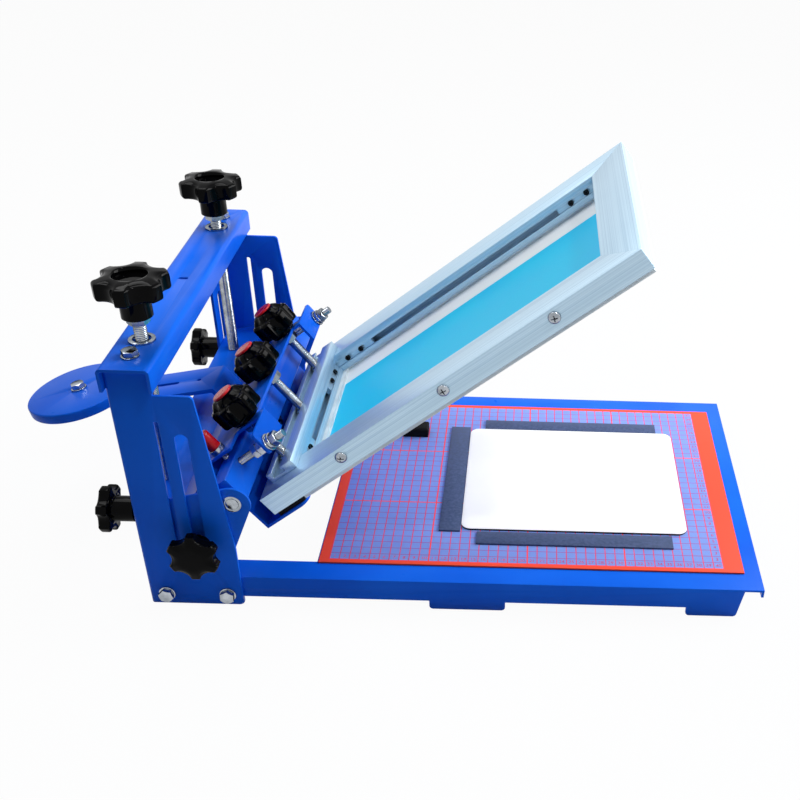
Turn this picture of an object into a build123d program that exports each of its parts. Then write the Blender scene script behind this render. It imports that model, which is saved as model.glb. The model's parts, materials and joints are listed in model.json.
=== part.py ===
from build123d import *
import os
from math import cos, radians, sin, tan

# Tabletop screen printing press with one screen and one printing bed.
# X runs along the bed, from the uprights towards the operator's open end, Y across it and
# Z up from the bench. "Near" is the -Y side and "far" the +Y side. Millimetres, degrees.

# ---------------------------------------------------------------- driving sizes: base and bed
base_centre_x = 81.45      # middle of the base, so that the origin is under the whole press
base_length = 610.5        # from the uprights' rear flanges to the bed's end lip
base_width = 359.2         # over the two long flanges of the base
base_sheet = 2.5
bed_height = 35.0          # top of the bed sheet above the bench
flange_lift = 10.5         # bottom of the long flanges above the bench, between the feet
end_lip_drop = 9.0
end_overhang = 19.0        # bed sheet past the end of the long flanges
flange_end_slant = 6.0     # how much the flange end leans in at its bottom
side_rail = 27.0           # sheet left beside the window under the printing head
rear_strip = 20.0          # sheet left behind the window
window_length = 139.3      # opening in the base under the printing head
middle_foot_start = 273.7  # from the rear end of the base to the middle foot
middle_foot_length = 76.0
end_foot_length = 57.0
rear_foot_length = 89.0
foot_corner = 4.0

mat_length = 430.0
mat_width = 310.0
mat_thickness = 2.0
mat_from_window = 1.5      # mat edge past the edge of the window
strip_thickness = 2.0
strip_width = 20.0
side_strip_length = 202.0
side_strip_width = 22.5
long_strip_length = 205.0
board_length = 239.0
board_width = 195.0
board_thickness = 2.5
board_corner = 10.0
board_from_mat_end = 51.5  # board edge to the open end of the mat
board_shift = 0.5          # middle of the board off the middle of the mat, across
strip_gap = 0.6            # board edge to the side strip and to the far strip
near_strip_gap = 4.0
rest_block_length = 30.0
rest_block_width = 18.0
rest_block_height = 12.0
rest_block_gap = 26.9      # block to the side strip
rest_block_side = 88.0     # middle of the block from the middle of the bed

# ---------------------------------------------------------------- driving sizes: uprights and beam
plate = 3.0                # sheet of the uprights, beam, carriage and head
foot_gap = 2.0             # bottom of the uprights above the bench
upright_depth = 92.0       # at the foot
upright_top_depth = 74.7   # at the shoulder
upright_straight = 72.0    # height where the front edge starts to lean back
shoulder_height = 242.6
beam_top = 271.0
beam_width = 46.0
beam_overhang = 5.4        # beam past the outer face of each upright
beam_lip = 23.0
bend_radius = 4.5          # outside radius of the bends
thin_slot_width = 4.5
thin_slot_from_rear = 38.5
thin_slot_top = 216.0
wide_slot_width = 12.6
wide_slot_from_rear = 58.5
wide_slot_top = 203.0
slot_bottom = 50.0
rear_flange_width = 42.0
rear_slot_width = 11.0
rear_slot_bottom = 76.0
rear_slot_top = 179.0
top_tab_width = 32.0
frame_bolt_height = 15.0   # upright bolts above the bench
frame_bolt_first = 17.5    # from the rear end
frame_bolt_second = 77.5
beam_bolt_from_rear = 20.0
beam_bolt_inset = 19.6     # bolt to the upright's outer face
beam_oval_length = 10.0
beam_oval_width = 4.5

# ---------------------------------------------------------------- driving sizes: fasteners
m8_radius = 4.0
m8_head = 13.0             # across flats
m8_head_height = 5.3
m8_nut_height = 6.5
m8_washer_radius = 8.0
m8_washer_height = 1.6
m8_jam_height = 4.0
m10_radius = 5.0
m10_nut = 17.0
m10_nut_height = 8.0
m12_radius = 6.0
m12_nut = 18.0
m12_nut_height = 10.0
m12_jam_height = 6.5
bolt_hole_play = 0.25      # bolt to its clearance hole
thread_play = 0.05         # screw to the nut that it turns in
running_play = 0.06        # shaft to the bush or hole that it turns in
body_gap = 0.3             # between faces of pieces that move past each other
bolt_past_nut = 1.0
rod_past_nut = 2.0

# ---------------------------------------------------------------- driving sizes: lift screws and carriage
lift_inset = 50.1          # lift screw to the upright's outer face
lift_from_rear = 21.0
near_lift_stand = 24.0     # knob hub above the beam on the near side
far_lift_stand = 17.0
lift_washer_radius = 12.0
lift_washer_hole = 8.5
lift_washer_height = 2.0
lift_hole_radius = 8.0
lift_knob_radius = 33.0
lift_head_height = 19.0
lift_hub_radius = 14.0
lift_hub_height = 22.0
lift_recess_radius = 12.5
lift_recess_depth = 5.0
carriage_height = 120.0    # top of the carriage plate above the bench
carriage_depth = 40.0
carriage_front_drop = 20.0
carriage_rear_drop = 34.0
cheek_bottom = 62.0
cheek_foot_depth = 84.0
pivot_from_rear = 94.0
pivot_height = 124.0
pivot_boss_radius = 17.5
journal_radius = 6.0
bush_radius = 9.0
bush_flange_radius = 13.0
bush_flange = 4.0

clamp_knob_radius = 25.0   # side clamps
clamp_head_height = 14.0
clamp_hub_radius = 12.5
side_hub_height = 12.5
side_clamp_height = 80.0
rear_knob_radius = 24.0
rear_head_height = 13.0
rear_hub_height = 21.0
rear_clamp_height = 104.0
rear_clamp_inset = 19.1    # clamp to the upright's outer face
stud_collar_radius = 10.5
stud_collar = 2.4
stud_in_knob = 10.0

# ---------------------------------------------------------------- driving sizes: tilting head
# Head pieces are drawn with the screen lying flat: X along the screen from its clamped end,
# Y across, Z square to it, and zero at the top edge of the clamped end.
head_angle = 38.0
pivot_along = 0.5
pivot_above = 26.5
bar_width = 20.0
bar_above_pivot = 21.5
bar_below_pivot = 8.5
registration_side = 131.5
registration_height = 40.0
registration_reach = 67.0
wide_washer_radius = 9.0
spring_washer_radius = 7.4
spring_washer_height = 2.2
channel_back = -20.0       # rear face of the head channel
channel_reach = 36.0       # front edge of its top plate
channel_top = 58.0
channel_half = 105.0       # top plate, from the middle across
channel_wing = 133.0       # narrow wings of the top plate
wing_reach = 14.0
channel_back_half = 140.0
shelf_reach = 35.0
shelf_corner = 10.0
seat_pad = 7.0
pad_inset_front = 1.0
pad_inset_side = 2.0
ear_face = 47.0            # front face of the two ears
ear_width = 50.5
ear_inner = 91.0           # inner edge of the ears from the middle
ear_bottom = 32.5
ear_corner = 4.0
lock_along = -4.0
lock_side = 123.0
lock_cap_radius = 6.5
lock_cap_height = 20.0
lock_collar_radius = 7.5
lock_collar = 5.0

arm_width = 50.0
arm_thickness = 4.5
arm_tilt = 26.7            # arm to the screen's plane
arm_bend_height = 85.5
arm_tab_bottom = -22.0
arm_length = 152.0         # bend to the middle of the disc
arm_past_disc = 18.0
arm_slot_start = 44.0
arm_slot_end = 78.0
arm_slot_width = 5.0
arm_hole_at = 22.0
disc_radius = 54.5
disc_thickness = 11.0
disc_edge = 1.2
arm_bolt_side = 14.0
arm_bolt_height = 6.0      # bolts through the tab, above the screen's plane

# ---------------------------------------------------------------- driving sizes: screen frame
screen_length = 446.5
screen_width = 286.7
rail_width = 40.0
rail_height = 21.5
rail_wall = 2.0
slot_opening = 7.0
slot_cavity_depth = 13.0
slot_cavity_height = 14.0
slot_middle = -11.5
mesh_frame_depth = 4.0
mesh_frame_inset = 1.2
mesh_window_past = 2.0     # window of the white frame past the rails' inner faces
mesh_start = 38.0
mesh_start_width = 8.0
mesh_thickness = 0.6
mesh_lift = 0.4
film_thickness = 0.4
film_length = 352.0
film_width = 136.0
film_start = 47.5
connector_thickness = 6.0
connector_leg = 52.0       # from the inner corner of the frame
connector_height = 12.0
corner_screw_radius = 3.0
corner_screw_first = 15.0  # from the inner corner of the frame
corner_screw_second = 35.0
rail_screw_spacing = 125.5
rail_screw_middle = 224.0
rail_screw_radius = 6.0
rail_screw_dome = 3.0      # height of the head
rail_screw_top = 4.2       # radius of the head at its top
rail_screw_drop = 9.0
rail_screw_shank = 2.5

# ---------------------------------------------------------------- driving sizes: screen clamp
clamp_bar_start = 12.0
clamp_bar_width = 33.0
clamp_bar_height = 10.0
clamp_bar_half = 124.0
clamp_bar_lip = 2.4
clamp_foot_radius = 7.5
clamp_foot = 3.6
clamp_along = 25.0
clamp_spacing = 90.5
screen_knob_radius = 24.0
screen_head_height = 22.0  # lobed part
screen_dome_height = 7.5   # from the lobes up to the cap
screen_hub_radius = 14.0
screen_hub_height = 4.5
screen_knob_gap = 1.0      # hub above the top plate
cap_radius = 11.0
cap_height = 2.4
cap_edge = 0.8

# ---------------------------------------------------------------- placing
rear_x = base_centre_x - base_length / 2
end_x = base_centre_x + base_length / 2
half_width = base_width / 2
upright_outer = half_width + plate
window_start = rear_x + plate + rear_strip
window_end = window_start + window_length
lift_x = rear_x + lift_from_rear
beam_rear = rear_x - plate
pivot_x = rear_x + pivot_from_rear
cheek_outer = half_width - body_gap
cheek_inner = cheek_outer - plate
lift_side = upright_outer - lift_inset
beam_bolt_side = upright_outer - beam_bolt_inset
rear_clamp_side = upright_outer - rear_clamp_inset

tilt = radians(head_angle)
head_origin = (
    pivot_x - pivot_along * cos(tilt) + pivot_above * sin(tilt),
    0,
    pivot_height - pivot_along * sin(tilt) - pivot_above * cos(tilt),
)
head_plane = Plane(origin=head_origin, x_dir=(cos(tilt), 0, sin(tilt)), z_dir=(-sin(tilt), 0, cos(tilt)))
bar_top = pivot_above + bar_above_pivot
bar_bottom = pivot_above - bar_below_pivot
channel_inner_top = channel_top - plate
shelf_top = -rail_height - seat_pad
shelf_bottom = shelf_top - plate
half_screen = screen_width / 2
base_low = (Align.CENTER, Align.CENTER, Align.MIN)


def block(x0, x1, y0, y1, z0, z1):
    """A box between two corners."""
    middle = Pos((x0 + x1) / 2, (y0 + y1) / 2, (z0 + z1) / 2)
    return middle * Box(x1 - x0, y1 - y0, z1 - z0)


def between(start, end):
    """The plane at start whose normal points at end, and the distance to it."""
    reach = Vector(*end) - Vector(*start)
    return Plane(origin=start, z_dir=reach), reach.length


def round_bar(start, end, radius):
    plane, length = between(start, end)
    return plane.location * Cylinder(radius, length, align=base_low)


def hexagon(start, end, across_flats):
    plane, length = between(start, end)
    outline = RegularPolygon(across_flats / 2, 6, major_radius=False)
    return extrude(plane * outline, amount=length)


def nut(start, end, across_flats, bore_radius):
    return hexagon(start, end, across_flats) - round_bar(start, end, bore_radius)


def ring(start, end, outer_radius, inner_radius):
    return round_bar(start, end, outer_radius) - round_bar(start, end, inner_radius)


def side_view(y):
    """A plane facing -Y, with X to the right and Z up."""
    return Plane(origin=(0, y, 0), x_dir=(1, 0, 0), z_dir=(0, -1, 0))


def side_plate(outline, y0, y1):
    """An outline in X and Z made a plate from y0 to y1."""
    return extrude(side_view(y1) * outline, amount=y1 - y0)


def upright_slot(x, low, high, width, y0, y1):
    middle = Pos(x, (low + high) / 2)
    return side_plate(middle * SlotOverall(high - low, width, rotation=90), y0, y1)


def both_sides(shape):
    return [shape, mirror(shape, about=Plane.XZ)]


def on_head(shape):
    """Turns a head piece from its flat drawing to the screen's resting angle."""
    if isinstance(shape, list):
        return [head_plane.location * each for each in shape]
    return head_plane.location * shape


def star_knob(head_radius, head_height, hub_radius, hub_height, dome_height=0.0, dome_radius=0.0, lobes=6):
    """A star knob with its hub standing on Z = 0, its head above, and a dome if it has a height."""
    scallop_radius = head_radius * 0.42
    scallop_depth = head_radius * 0.2
    scallops = PolarLocations(head_radius + scallop_radius - scallop_depth, lobes) * Circle(scallop_radius)
    outline = Circle(head_radius) - scallops
    outline = fillet(outline.vertices(), head_radius * 0.14)
    head = extrude(Pos(0, 0, hub_height) * outline, amount=head_height + dome_height)
    if dome_height:
        shoulder = hub_height + head_height
        keep = Cylinder(head_radius, shoulder, align=base_low)
        keep += Pos(0, 0, shoulder) * Cone(head_radius, dome_radius, dome_height, align=base_low)
        return (head & keep) + Cylinder(hub_radius, hub_height + 1, align=base_low)
    rims = head.faces().sort_by(Axis.Z)
    head = chamfer(rims[-1].edges() + rims[0].edges(), head_radius * 0.05)
    return head + Cylinder(hub_radius, hub_height + 1, align=base_low)


# ---------------------------------------------------------------- base and bed
def base_frame():
    """Bent sheet: bed, window under the head, long flanges with feet, and short end lips."""
    start = rear_x + plate
    under = bed_height - base_sheet
    sheet = block(start, end_x, -half_width, half_width, under, bed_height)
    window = block(window_start, window_end, side_rail - half_width, half_width - side_rail, 0, bed_height + 1)
    sheet -= window
    flange_end = end_x - end_overhang
    middle_foot = start + middle_foot_start
    outline = Polygon(
        (start, bed_height - base_sheet / 2),
        (start, 0),
        (start + rear_foot_length, 0),
        (start + rear_foot_length, flange_lift),
        (middle_foot, flange_lift),
        (middle_foot, 0),
        (middle_foot + middle_foot_length, 0),
        (middle_foot + middle_foot_length, flange_lift),
        (flange_end - end_foot_length, flange_lift),
        (flange_end - end_foot_length, 0),
        (flange_end - flange_end_slant, 0),
        (flange_end, bed_height - base_sheet / 2),
        align=None,
    )
    ground = outline.vertices().filter_by(lambda corner: corner.Y < foot_corner)
    outline = fillet(ground, foot_corner)
    flange = side_plate(outline, -half_width, base_sheet - half_width)
    lip_low = bed_height - end_lip_drop
    inner = half_width - side_rail / 2
    lips = [
        block(end_x - base_sheet, end_x, -half_width, half_width, lip_low, under),
        block(start, start + base_sheet, -inner, inner, lip_low, under),
    ]
    body = sheet + both_sides(flange) + lips
    holes = [round_bar((x, -upright_outer, frame_bolt_height), (x, upright_outer, frame_bolt_height),
                       m8_radius + bolt_hole_play) for x in frame_bolt_places()]
    return body - holes


def frame_bolt_places():
    return [rear_x + frame_bolt_first, rear_x + frame_bolt_second]


def mat_start():
    return window_end + mat_from_window


def cutting_mat():
    start = mat_start()
    return block(start, start + mat_length, -mat_width / 2, mat_width / 2, bed_height, bed_height + mat_thickness)


def board_span():
    """The board's first and last X, and its low and high Y."""
    last = mat_start() + mat_length - board_from_mat_end
    return last - board_length, last, board_shift - board_width / 2, board_shift + board_width / 2


def side_strip_start():
    return board_span()[0] - strip_gap - side_strip_width


def print_board():
    first, last, low, high = board_span()
    outline = RectangleRounded(board_length, board_width, board_corner)
    place = Pos((first + last) / 2, (low + high) / 2, bed_height + mat_thickness)
    return extrude(place * outline, amount=board_thickness)


def guide_strips():
    """Three flat strips that a print is laid against: one at the side, one near and one far."""
    first, last, low, high = board_span()
    floor = bed_height + mat_thickness
    top = floor + strip_thickness
    side_start = side_strip_start()
    middle = (low + high) / 2
    long_first = (first + last - long_strip_length) / 2
    side = block(side_start, side_start + side_strip_width, middle - side_strip_length / 2,
                 middle + side_strip_length / 2, floor, top)
    near = block(long_first, long_first + long_strip_length, low - near_strip_gap - strip_width,
                 low - near_strip_gap, floor, top)
    far = block(long_first, long_first + long_strip_length, high + strip_gap,
                high + strip_gap + strip_width, floor, top)
    return [side, near, far]


def screen_rest_block():
    """Rubber block on the mat that a lowered screen can be stopped on."""
    end = side_strip_start() - rest_block_gap
    floor = bed_height + mat_thickness
    low = rest_block_side - rest_block_width / 2
    solid = block(end - rest_block_length, end, low, low + rest_block_width, floor, floor + rest_block_height)
    return chamfer(solid.faces().sort_by(Axis.Z)[-1].edges(), rest_block_height / 8)


# ---------------------------------------------------------------- uprights and beam
def near_upright():
    """Side plate with two slots, a rear flange with one slot, and a tab under the beam."""
    inside_beam = beam_rear + beam_width - plate
    under_beam = beam_top - plate
    outline = Polygon(
        (rear_x, foot_gap),
        (rear_x + upright_depth, foot_gap),
        (rear_x + upright_depth, upright_straight),
        (rear_x + upright_top_depth, shoulder_height),
        (inside_beam, shoulder_height),
        (inside_beam, under_beam),
        (rear_x, under_beam),
        align=None,
    )
    front = outline.vertices().sort_by(Axis.X)[-3:]
    outline = fillet(front, bend_radius)
    y0, y1 = -upright_outer, -half_width
    body = side_plate(outline, y0, y1)
    body -= upright_slot(rear_x + thin_slot_from_rear, slot_bottom, thin_slot_top, thin_slot_width, y0, y1)
    body -= upright_slot(rear_x + wide_slot_from_rear, slot_bottom, wide_slot_top, wide_slot_width, y0, y1)
    for x in frame_bolt_places():
        body -= round_bar((x, y0, frame_bolt_height), (x, y1, frame_bolt_height), m8_radius + bolt_hole_play)
    flange = block(rear_x, rear_x + plate, y0, y0 + rear_flange_width, foot_gap, under_beam)
    rear_slot = SlotOverall(rear_slot_top - rear_slot_bottom, rear_slot_width)
    slot_plane = Plane(origin=(rear_x, -rear_clamp_side, (rear_slot_top + rear_slot_bottom) / 2),
                       x_dir=(0, 0, 1), z_dir=(1, 0, 0))
    flange -= extrude(slot_plane * rear_slot, amount=plate)
    tab = block(rear_x, inside_beam, y0, y0 + top_tab_width, under_beam - plate, under_beam)
    bolt_x = rear_x + beam_bolt_from_rear
    tab -= round_bar((bolt_x, -beam_bolt_side, under_beam - plate), (bolt_x, -beam_bolt_side, under_beam),
                     m8_radius + bolt_hole_play)
    body = body + flange + tab
    top_edges = body.edges().filter_by(Axis.Y).filter_by(
        lambda edge: edge.center().Z > under_beam - 0.1
        and (edge.center().X < rear_x + 0.1 or edge.center().X > inside_beam - 0.1))
    body = chamfer(top_edges, bend_radius - plate + body_gap)
    corner = body.edges().filter_by(Axis.Z).filter_by(
        lambda edge: abs(edge.center().X - rear_x) < 0.1 and abs(edge.center().Y - y0) < 0.1)
    return fillet(corner, bend_radius - 1)


def top_beam():
    """Channel with its lips down, bolted over the two uprights."""
    low = beam_top - beam_lip
    half = upright_outer + beam_overhang
    front = beam_rear + beam_width
    outer = block(beam_rear, front, -half, half, low, beam_top)
    outer = fillet(outer.faces().sort_by(Axis.Z)[-1].edges().filter_by(Axis.Y), bend_radius)
    inner = block(beam_rear + plate, front - plate, -half, half, low, beam_top - plate)
    inner = fillet(inner.faces().sort_by(Axis.Z)[-1].edges().filter_by(Axis.Y), bend_radius - plate)
    body = outer - inner
    under = beam_top - plate
    bolt_x = rear_x + beam_bolt_from_rear
    for side in (-1, 1):
        body -= round_bar((lift_x, side * lift_side, under), (lift_x, side * lift_side, beam_top), lift_hole_radius)
        body -= round_bar((bolt_x, side * beam_bolt_side, under), (bolt_x, side * beam_bolt_side, beam_top),
                          m8_radius + bolt_hole_play)
    oval = Pos(lift_x, 0, under) * SlotOverall(beam_oval_length, beam_oval_width)
    return body - extrude(oval, amount=plate)


def frame_bolts():
    """Four bolts through the feet of the uprights and two through the beam."""
    bolts = []
    seat = -upright_outer - m8_washer_height
    end = base_sheet - half_width + m8_nut_height + bolt_past_nut
    for x in frame_bolt_places():
        head = hexagon((x, seat - m8_head_height, frame_bolt_height), (x, seat, frame_bolt_height), m8_head)
        shank = round_bar((x, seat, frame_bolt_height), (x, end, frame_bolt_height), m8_radius)
        bolts += both_sides(head + shank)
    x = rear_x + beam_bolt_from_rear
    y = -beam_bolt_side
    seat = beam_top + m8_washer_height
    end = beam_top - 2 * plate - m8_nut_height - bolt_past_nut
    head = hexagon((x, y, seat), (x, y, seat + m8_head_height), m8_head)
    shank = round_bar((x, y, seat), (x, y, end), m8_radius)
    return bolts + both_sides(head + shank)


def frame_washers():
    washers = []
    hole = m8_radius + bolt_hole_play
    for x in frame_bolt_places():
        washers += both_sides(ring((x, -upright_outer - m8_washer_height, frame_bolt_height),
                                   (x, -upright_outer, frame_bolt_height), m8_washer_radius, hole))
    x = rear_x + beam_bolt_from_rear
    washers += both_sides(ring((x, -beam_bolt_side, beam_top), (x, -beam_bolt_side, beam_top + m8_washer_height),
                               m8_washer_radius, hole))
    return washers


def frame_nuts():
    nuts = []
    inner = base_sheet - half_width
    for x in frame_bolt_places():
        nuts += both_sides(nut((x, inner, frame_bolt_height), (x, inner + m8_nut_height, frame_bolt_height),
                               m8_head, m8_radius + thread_play))
    x = rear_x + beam_bolt_from_rear
    low = beam_top - 2 * plate - m8_nut_height
    nuts += both_sides(nut((x, -beam_bolt_side, low), (x, -beam_bolt_side, low + m8_nut_height),
                           m8_head, m8_radius + thread_play))
    return nuts


def lift_washers():
    low = (lift_x, -lift_side, beam_top)
    high = (lift_x, -lift_side, beam_top + lift_washer_height)
    return both_sides(ring(low, high, lift_washer_radius, lift_washer_hole))


def lift_nuts():
    """Nuts welded under the beam, in which the lift screws climb."""
    high = beam_top - plate
    low = high - m12_nut_height
    return both_sides(nut((lift_x, -lift_side, low), (lift_x, -lift_side, high), m12_nut, m12_radius + thread_play))


# ---------------------------------------------------------------- carriage
def carriage_bracket():
    """Bent plate between the uprights: top, front and rear folds, and a cheek at each end."""
    rear = rear_x + plate + body_gap
    front = rear + carriage_depth
    low = carriage_height - plate
    top = block(rear, front, -cheek_outer, cheek_outer, low, carriage_height)
    front_fold = block(front - plate, front, -cheek_inner, cheek_inner, carriage_height - carriage_front_drop, low)
    rear_fold = block(rear, rear + plate, -cheek_outer, cheek_outer, carriage_height - carriage_rear_drop, low)
    boss = Pos(pivot_x, pivot_height) * Circle(pivot_boss_radius)
    body_outline = Polygon(
        (rear, cheek_bottom),
        (rear + cheek_foot_depth, cheek_bottom),
        (pivot_x, pivot_height),
        (rear, carriage_height),
        align=None,
    )
    outline = make_hull(boss.edges() + body_outline.edges())
    cheek = side_plate(outline, -cheek_outer, -cheek_inner)
    cheek -= round_bar((pivot_x, -cheek_outer, pivot_height), (pivot_x, -cheek_inner, pivot_height), bush_radius)
    clamp_x = rear_x + wide_slot_from_rear
    cheek -= round_bar((clamp_x, -cheek_outer, side_clamp_height), (clamp_x, -cheek_inner, side_clamp_height),
                       m10_radius + bolt_hole_play)
    body = top + front_fold + rear_fold + both_sides(cheek)
    spigot = m8_radius + running_play
    for side in (-1, 1):
        body -= round_bar((lift_x, side * lift_side, low), (lift_x, side * lift_side, carriage_height), spigot)
        y = side * rear_clamp_side
        body -= round_bar((rear, y, rear_clamp_height), (rear + plate, y, rear_clamp_height),
                          m10_radius + bolt_hole_play)
    return body


def pivot_bushes():
    """Flanged bushes in the cheeks that carry the pivot bar's journals."""
    inner = -cheek_inner + bush_flange
    sleeve = round_bar((pivot_x, -cheek_outer, pivot_height), (pivot_x, -cheek_inner, pivot_height),
                       bush_radius - thread_play)
    flange = round_bar((pivot_x, -cheek_inner, pivot_height), (pivot_x, inner, pivot_height), bush_flange_radius)
    bore = round_bar((pivot_x, -cheek_outer, pivot_height), (pivot_x, inner, pivot_height),
                     journal_radius + running_play)
    return both_sides(sleeve + flange - bore)


def stud_nuts():
    """Nuts welded inside the carriage for the side and rear clamp studs."""
    x = rear_x + wide_slot_from_rear
    side = nut((x, -cheek_inner, side_clamp_height), (x, -cheek_inner + m10_nut_height, side_clamp_height),
               m10_nut, m10_radius + thread_play)
    face = rear_x + 2 * plate + body_gap
    rear = nut((face, -rear_clamp_side, rear_clamp_height), (face + m10_nut_height, -rear_clamp_side,
               rear_clamp_height), m10_nut, m10_radius + thread_play)
    return both_sides(side) + both_sides(rear)


# ---------------------------------------------------------------- lift screws
def lift_screw(side, stand):
    """Screw with a shoulder on the carriage, a lock nut below it and a jam nut under the knob."""
    y = side * lift_side
    hub = beam_top + stand
    shoulder = carriage_height + body_gap
    below = carriage_height - plate - body_gap
    rod = round_bar((lift_x, y, shoulder), (lift_x, y, hub + lift_hub_height), m12_radius)
    rod += round_bar((lift_x, y, below - m8_nut_height - rod_past_nut), (lift_x, y, shoulder), m8_radius)
    jam = nut((lift_x, y, hub - m12_jam_height), (lift_x, y, hub), m12_nut, m12_radius + thread_play)
    lock = nut((lift_x, y, below - m8_nut_height), (lift_x, y, below), m8_head, m8_radius + thread_play)
    return [rod, jam, lock]


def lift_knob(side, stand):
    knob = star_knob(lift_knob_radius, lift_head_height, lift_hub_radius, lift_hub_height)
    top = lift_hub_height + lift_head_height
    knob -= Pos(0, 0, top - lift_recess_depth) * Cylinder(lift_recess_radius, lift_recess_depth, align=base_low)
    knob -= Cylinder(m12_radius + thread_play, lift_hub_height + thread_play, align=base_low)
    return Pos(lift_x, side * lift_side, beam_top + stand) * knob


# ---------------------------------------------------------------- side and rear clamps
def side_stud():
    """Stud with a collar that presses on the near upright."""
    x, z = rear_x + wide_slot_from_rear, side_clamp_height
    face = -upright_outer - body_gap
    seat = face - stud_collar
    rod = round_bar((x, seat - stud_in_knob, z), (x, -cheek_inner + m10_nut_height + rod_past_nut, z), m10_radius)
    return rod + round_bar((x, seat, z), (x, face, z), stud_collar_radius)


def side_knob():
    seat = -upright_outer - body_gap - stud_collar
    knob = star_knob(clamp_knob_radius, clamp_head_height, clamp_hub_radius, side_hub_height)
    knob -= Cylinder(m10_radius + thread_play, stud_in_knob + thread_play, align=base_low)
    place = Plane(origin=(rear_x + wide_slot_from_rear, seat, side_clamp_height), z_dir=(0, -1, 0))
    return place.location * knob


def rear_stud():
    """Stud with a collar that presses on the near rear flange."""
    y, z = -rear_clamp_side, rear_clamp_height
    face = rear_x - body_gap
    seat = face - stud_collar
    inside = rear_x + 2 * plate + body_gap + m10_nut_height + rod_past_nut
    rod = round_bar((seat - stud_in_knob, y, z), (inside, y, z), m10_radius)
    return rod + round_bar((seat, y, z), (face, y, z), stud_collar_radius)


def rear_knob():
    seat = rear_x - body_gap - stud_collar
    knob = star_knob(rear_knob_radius, rear_head_height, clamp_hub_radius, rear_hub_height)
    knob -= Cylinder(m10_radius + thread_play, stud_in_knob + thread_play, align=base_low)
    place = Plane(origin=(seat, -rear_clamp_side, rear_clamp_height), z_dir=(-1, 0, 0))
    return place.location * knob


# ---------------------------------------------------------------- tilting bar and registration
def pivot_bar():
    """Bar across the head with a turned journal at each end and two cross holes."""
    half = cheek_inner - bush_flange - body_gap
    back = pivot_along - bar_width / 2
    front = pivot_along + bar_width / 2
    body = block(back, front, -half, half, bar_bottom, bar_top)
    body = chamfer(body.edges().filter_by(Axis.Y), 1)
    body += round_bar((pivot_along, -cheek_outer, pivot_above), (pivot_along, cheek_outer, pivot_above),
                      journal_radius)
    for side in (-1, 1):
        y = side * registration_side
        body -= round_bar((back, y, registration_height), (front, y, registration_height),
                          m8_radius + thread_play)
    return on_head(body)


def registration_rods():
    back = pivot_along - bar_width / 2
    y, z = -registration_side, registration_height
    return on_head(both_sides(round_bar((back, y, z), (registration_reach, y, z), m8_radius)))


def registration_nuts(side):
    """The nuts and washers that hold one ear on its rod."""
    y, z = side * registration_side, registration_height
    ear_back = ear_face - plate
    front = ear_face + body_gap
    back = ear_back - body_gap
    hole = m8_radius + thread_play
    outer = [
        (wide_washer_radius, m8_washer_height), (spring_washer_radius, spring_washer_height),
        (m8_washer_radius, m8_washer_height), (None, m8_nut_height),
    ]
    inner = [(wide_washer_radius, m8_washer_height), (None, m8_nut_height), (None, m8_nut_height)]
    return on_head(stack_on_rod(outer, front, 1, y, z, hole) + stack_on_rod(inner, back, -1, y, z, hole))


def stack_on_rod(sizes, start, way, y, z, hole):
    """Washers (a radius and a height) and nuts (no radius) in a row along X from start."""
    pieces = []
    for radius, height in sizes:
        low, high = (start, y, z), (start + way * height, y, z)
        pieces.append(ring(low, high, radius, hole) if radius else nut(low, high, m8_head, hole))
        start += way * height
    return pieces


# ---------------------------------------------------------------- head channel
def head_channel():
    """Bent channel that the screen is clamped in, with an ear at each end."""
    inner = channel_back + plate
    back = block(channel_back, inner, -channel_back_half, channel_back_half, shelf_bottom, channel_top)
    low = channel_inner_top
    top = block(channel_back, channel_reach, -channel_half, channel_half, low, channel_top)
    wings = block(channel_back, wing_reach, -channel_wing, channel_wing, low, channel_top)
    shelf = block(channel_back, shelf_reach, -channel_back_half, channel_back_half, shelf_bottom, shelf_top)
    shelf = fillet(shelf.edges().filter_by(Axis.Z).group_by(Axis.X)[-1], shelf_corner)
    ear_outer = ear_inner + ear_width
    link = block(channel_reach - 1, ear_face, -channel_half, -ear_inner, low, channel_top)
    ear = block(ear_face - plate, ear_face, -ear_outer, -ear_inner, ear_bottom, channel_top)
    outer_edges = ear.edges().filter_by(Axis.X).sort_by(Axis.Y)[:2]
    ear = fillet(outer_edges, ear_corner)
    ear -= round_bar((ear_face - plate, -registration_side, registration_height),
                     (ear_face, -registration_side, registration_height), m8_radius + bolt_hole_play)
    body = back + top + wings + shelf + both_sides(link) + both_sides(ear)
    for y in clamp_sides():
        body -= round_bar((clamp_along, y, low), (clamp_along, y, channel_top), m10_radius + bolt_hole_play)
    body -= round_bar((lock_along, -lock_side, low), (lock_along, -lock_side, channel_top),
                      m8_radius + running_play)
    for y in (-arm_bolt_side, arm_bolt_side):
        body -= round_bar((channel_back, y, arm_bolt_height), (inner, y, arm_bolt_height),
                          m8_radius + bolt_hole_play)
    return on_head(body)


def clamp_sides():
    return [-clamp_spacing, 0, clamp_spacing]


def clamp_screw_nuts():
    """Nuts welded under the channel's top for the three screen clamp screws."""
    high = channel_inner_top
    low = high - m10_nut_height
    return on_head([nut((clamp_along, y, low), (clamp_along, y, high), m10_nut, m10_radius + thread_play)
                    for y in clamp_sides()])


def frame_seat_pad():
    half = channel_back_half - pad_inset_side
    pad = block(0, shelf_reach - pad_inset_front, -half, half, shelf_top, -rail_height)
    return on_head(pad)


def slide_lock_screw():
    """Screw that locks the head on the pivot bar, with its collar."""
    low = (lock_along, -lock_side, bar_top + body_gap)
    seat = (lock_along, -lock_side, channel_top + body_gap)
    collar_top = (lock_along, -lock_side, channel_top + body_gap + lock_collar)
    return on_head(round_bar(low, collar_top, m8_radius) + round_bar(seat, collar_top, lock_collar_radius))


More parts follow.
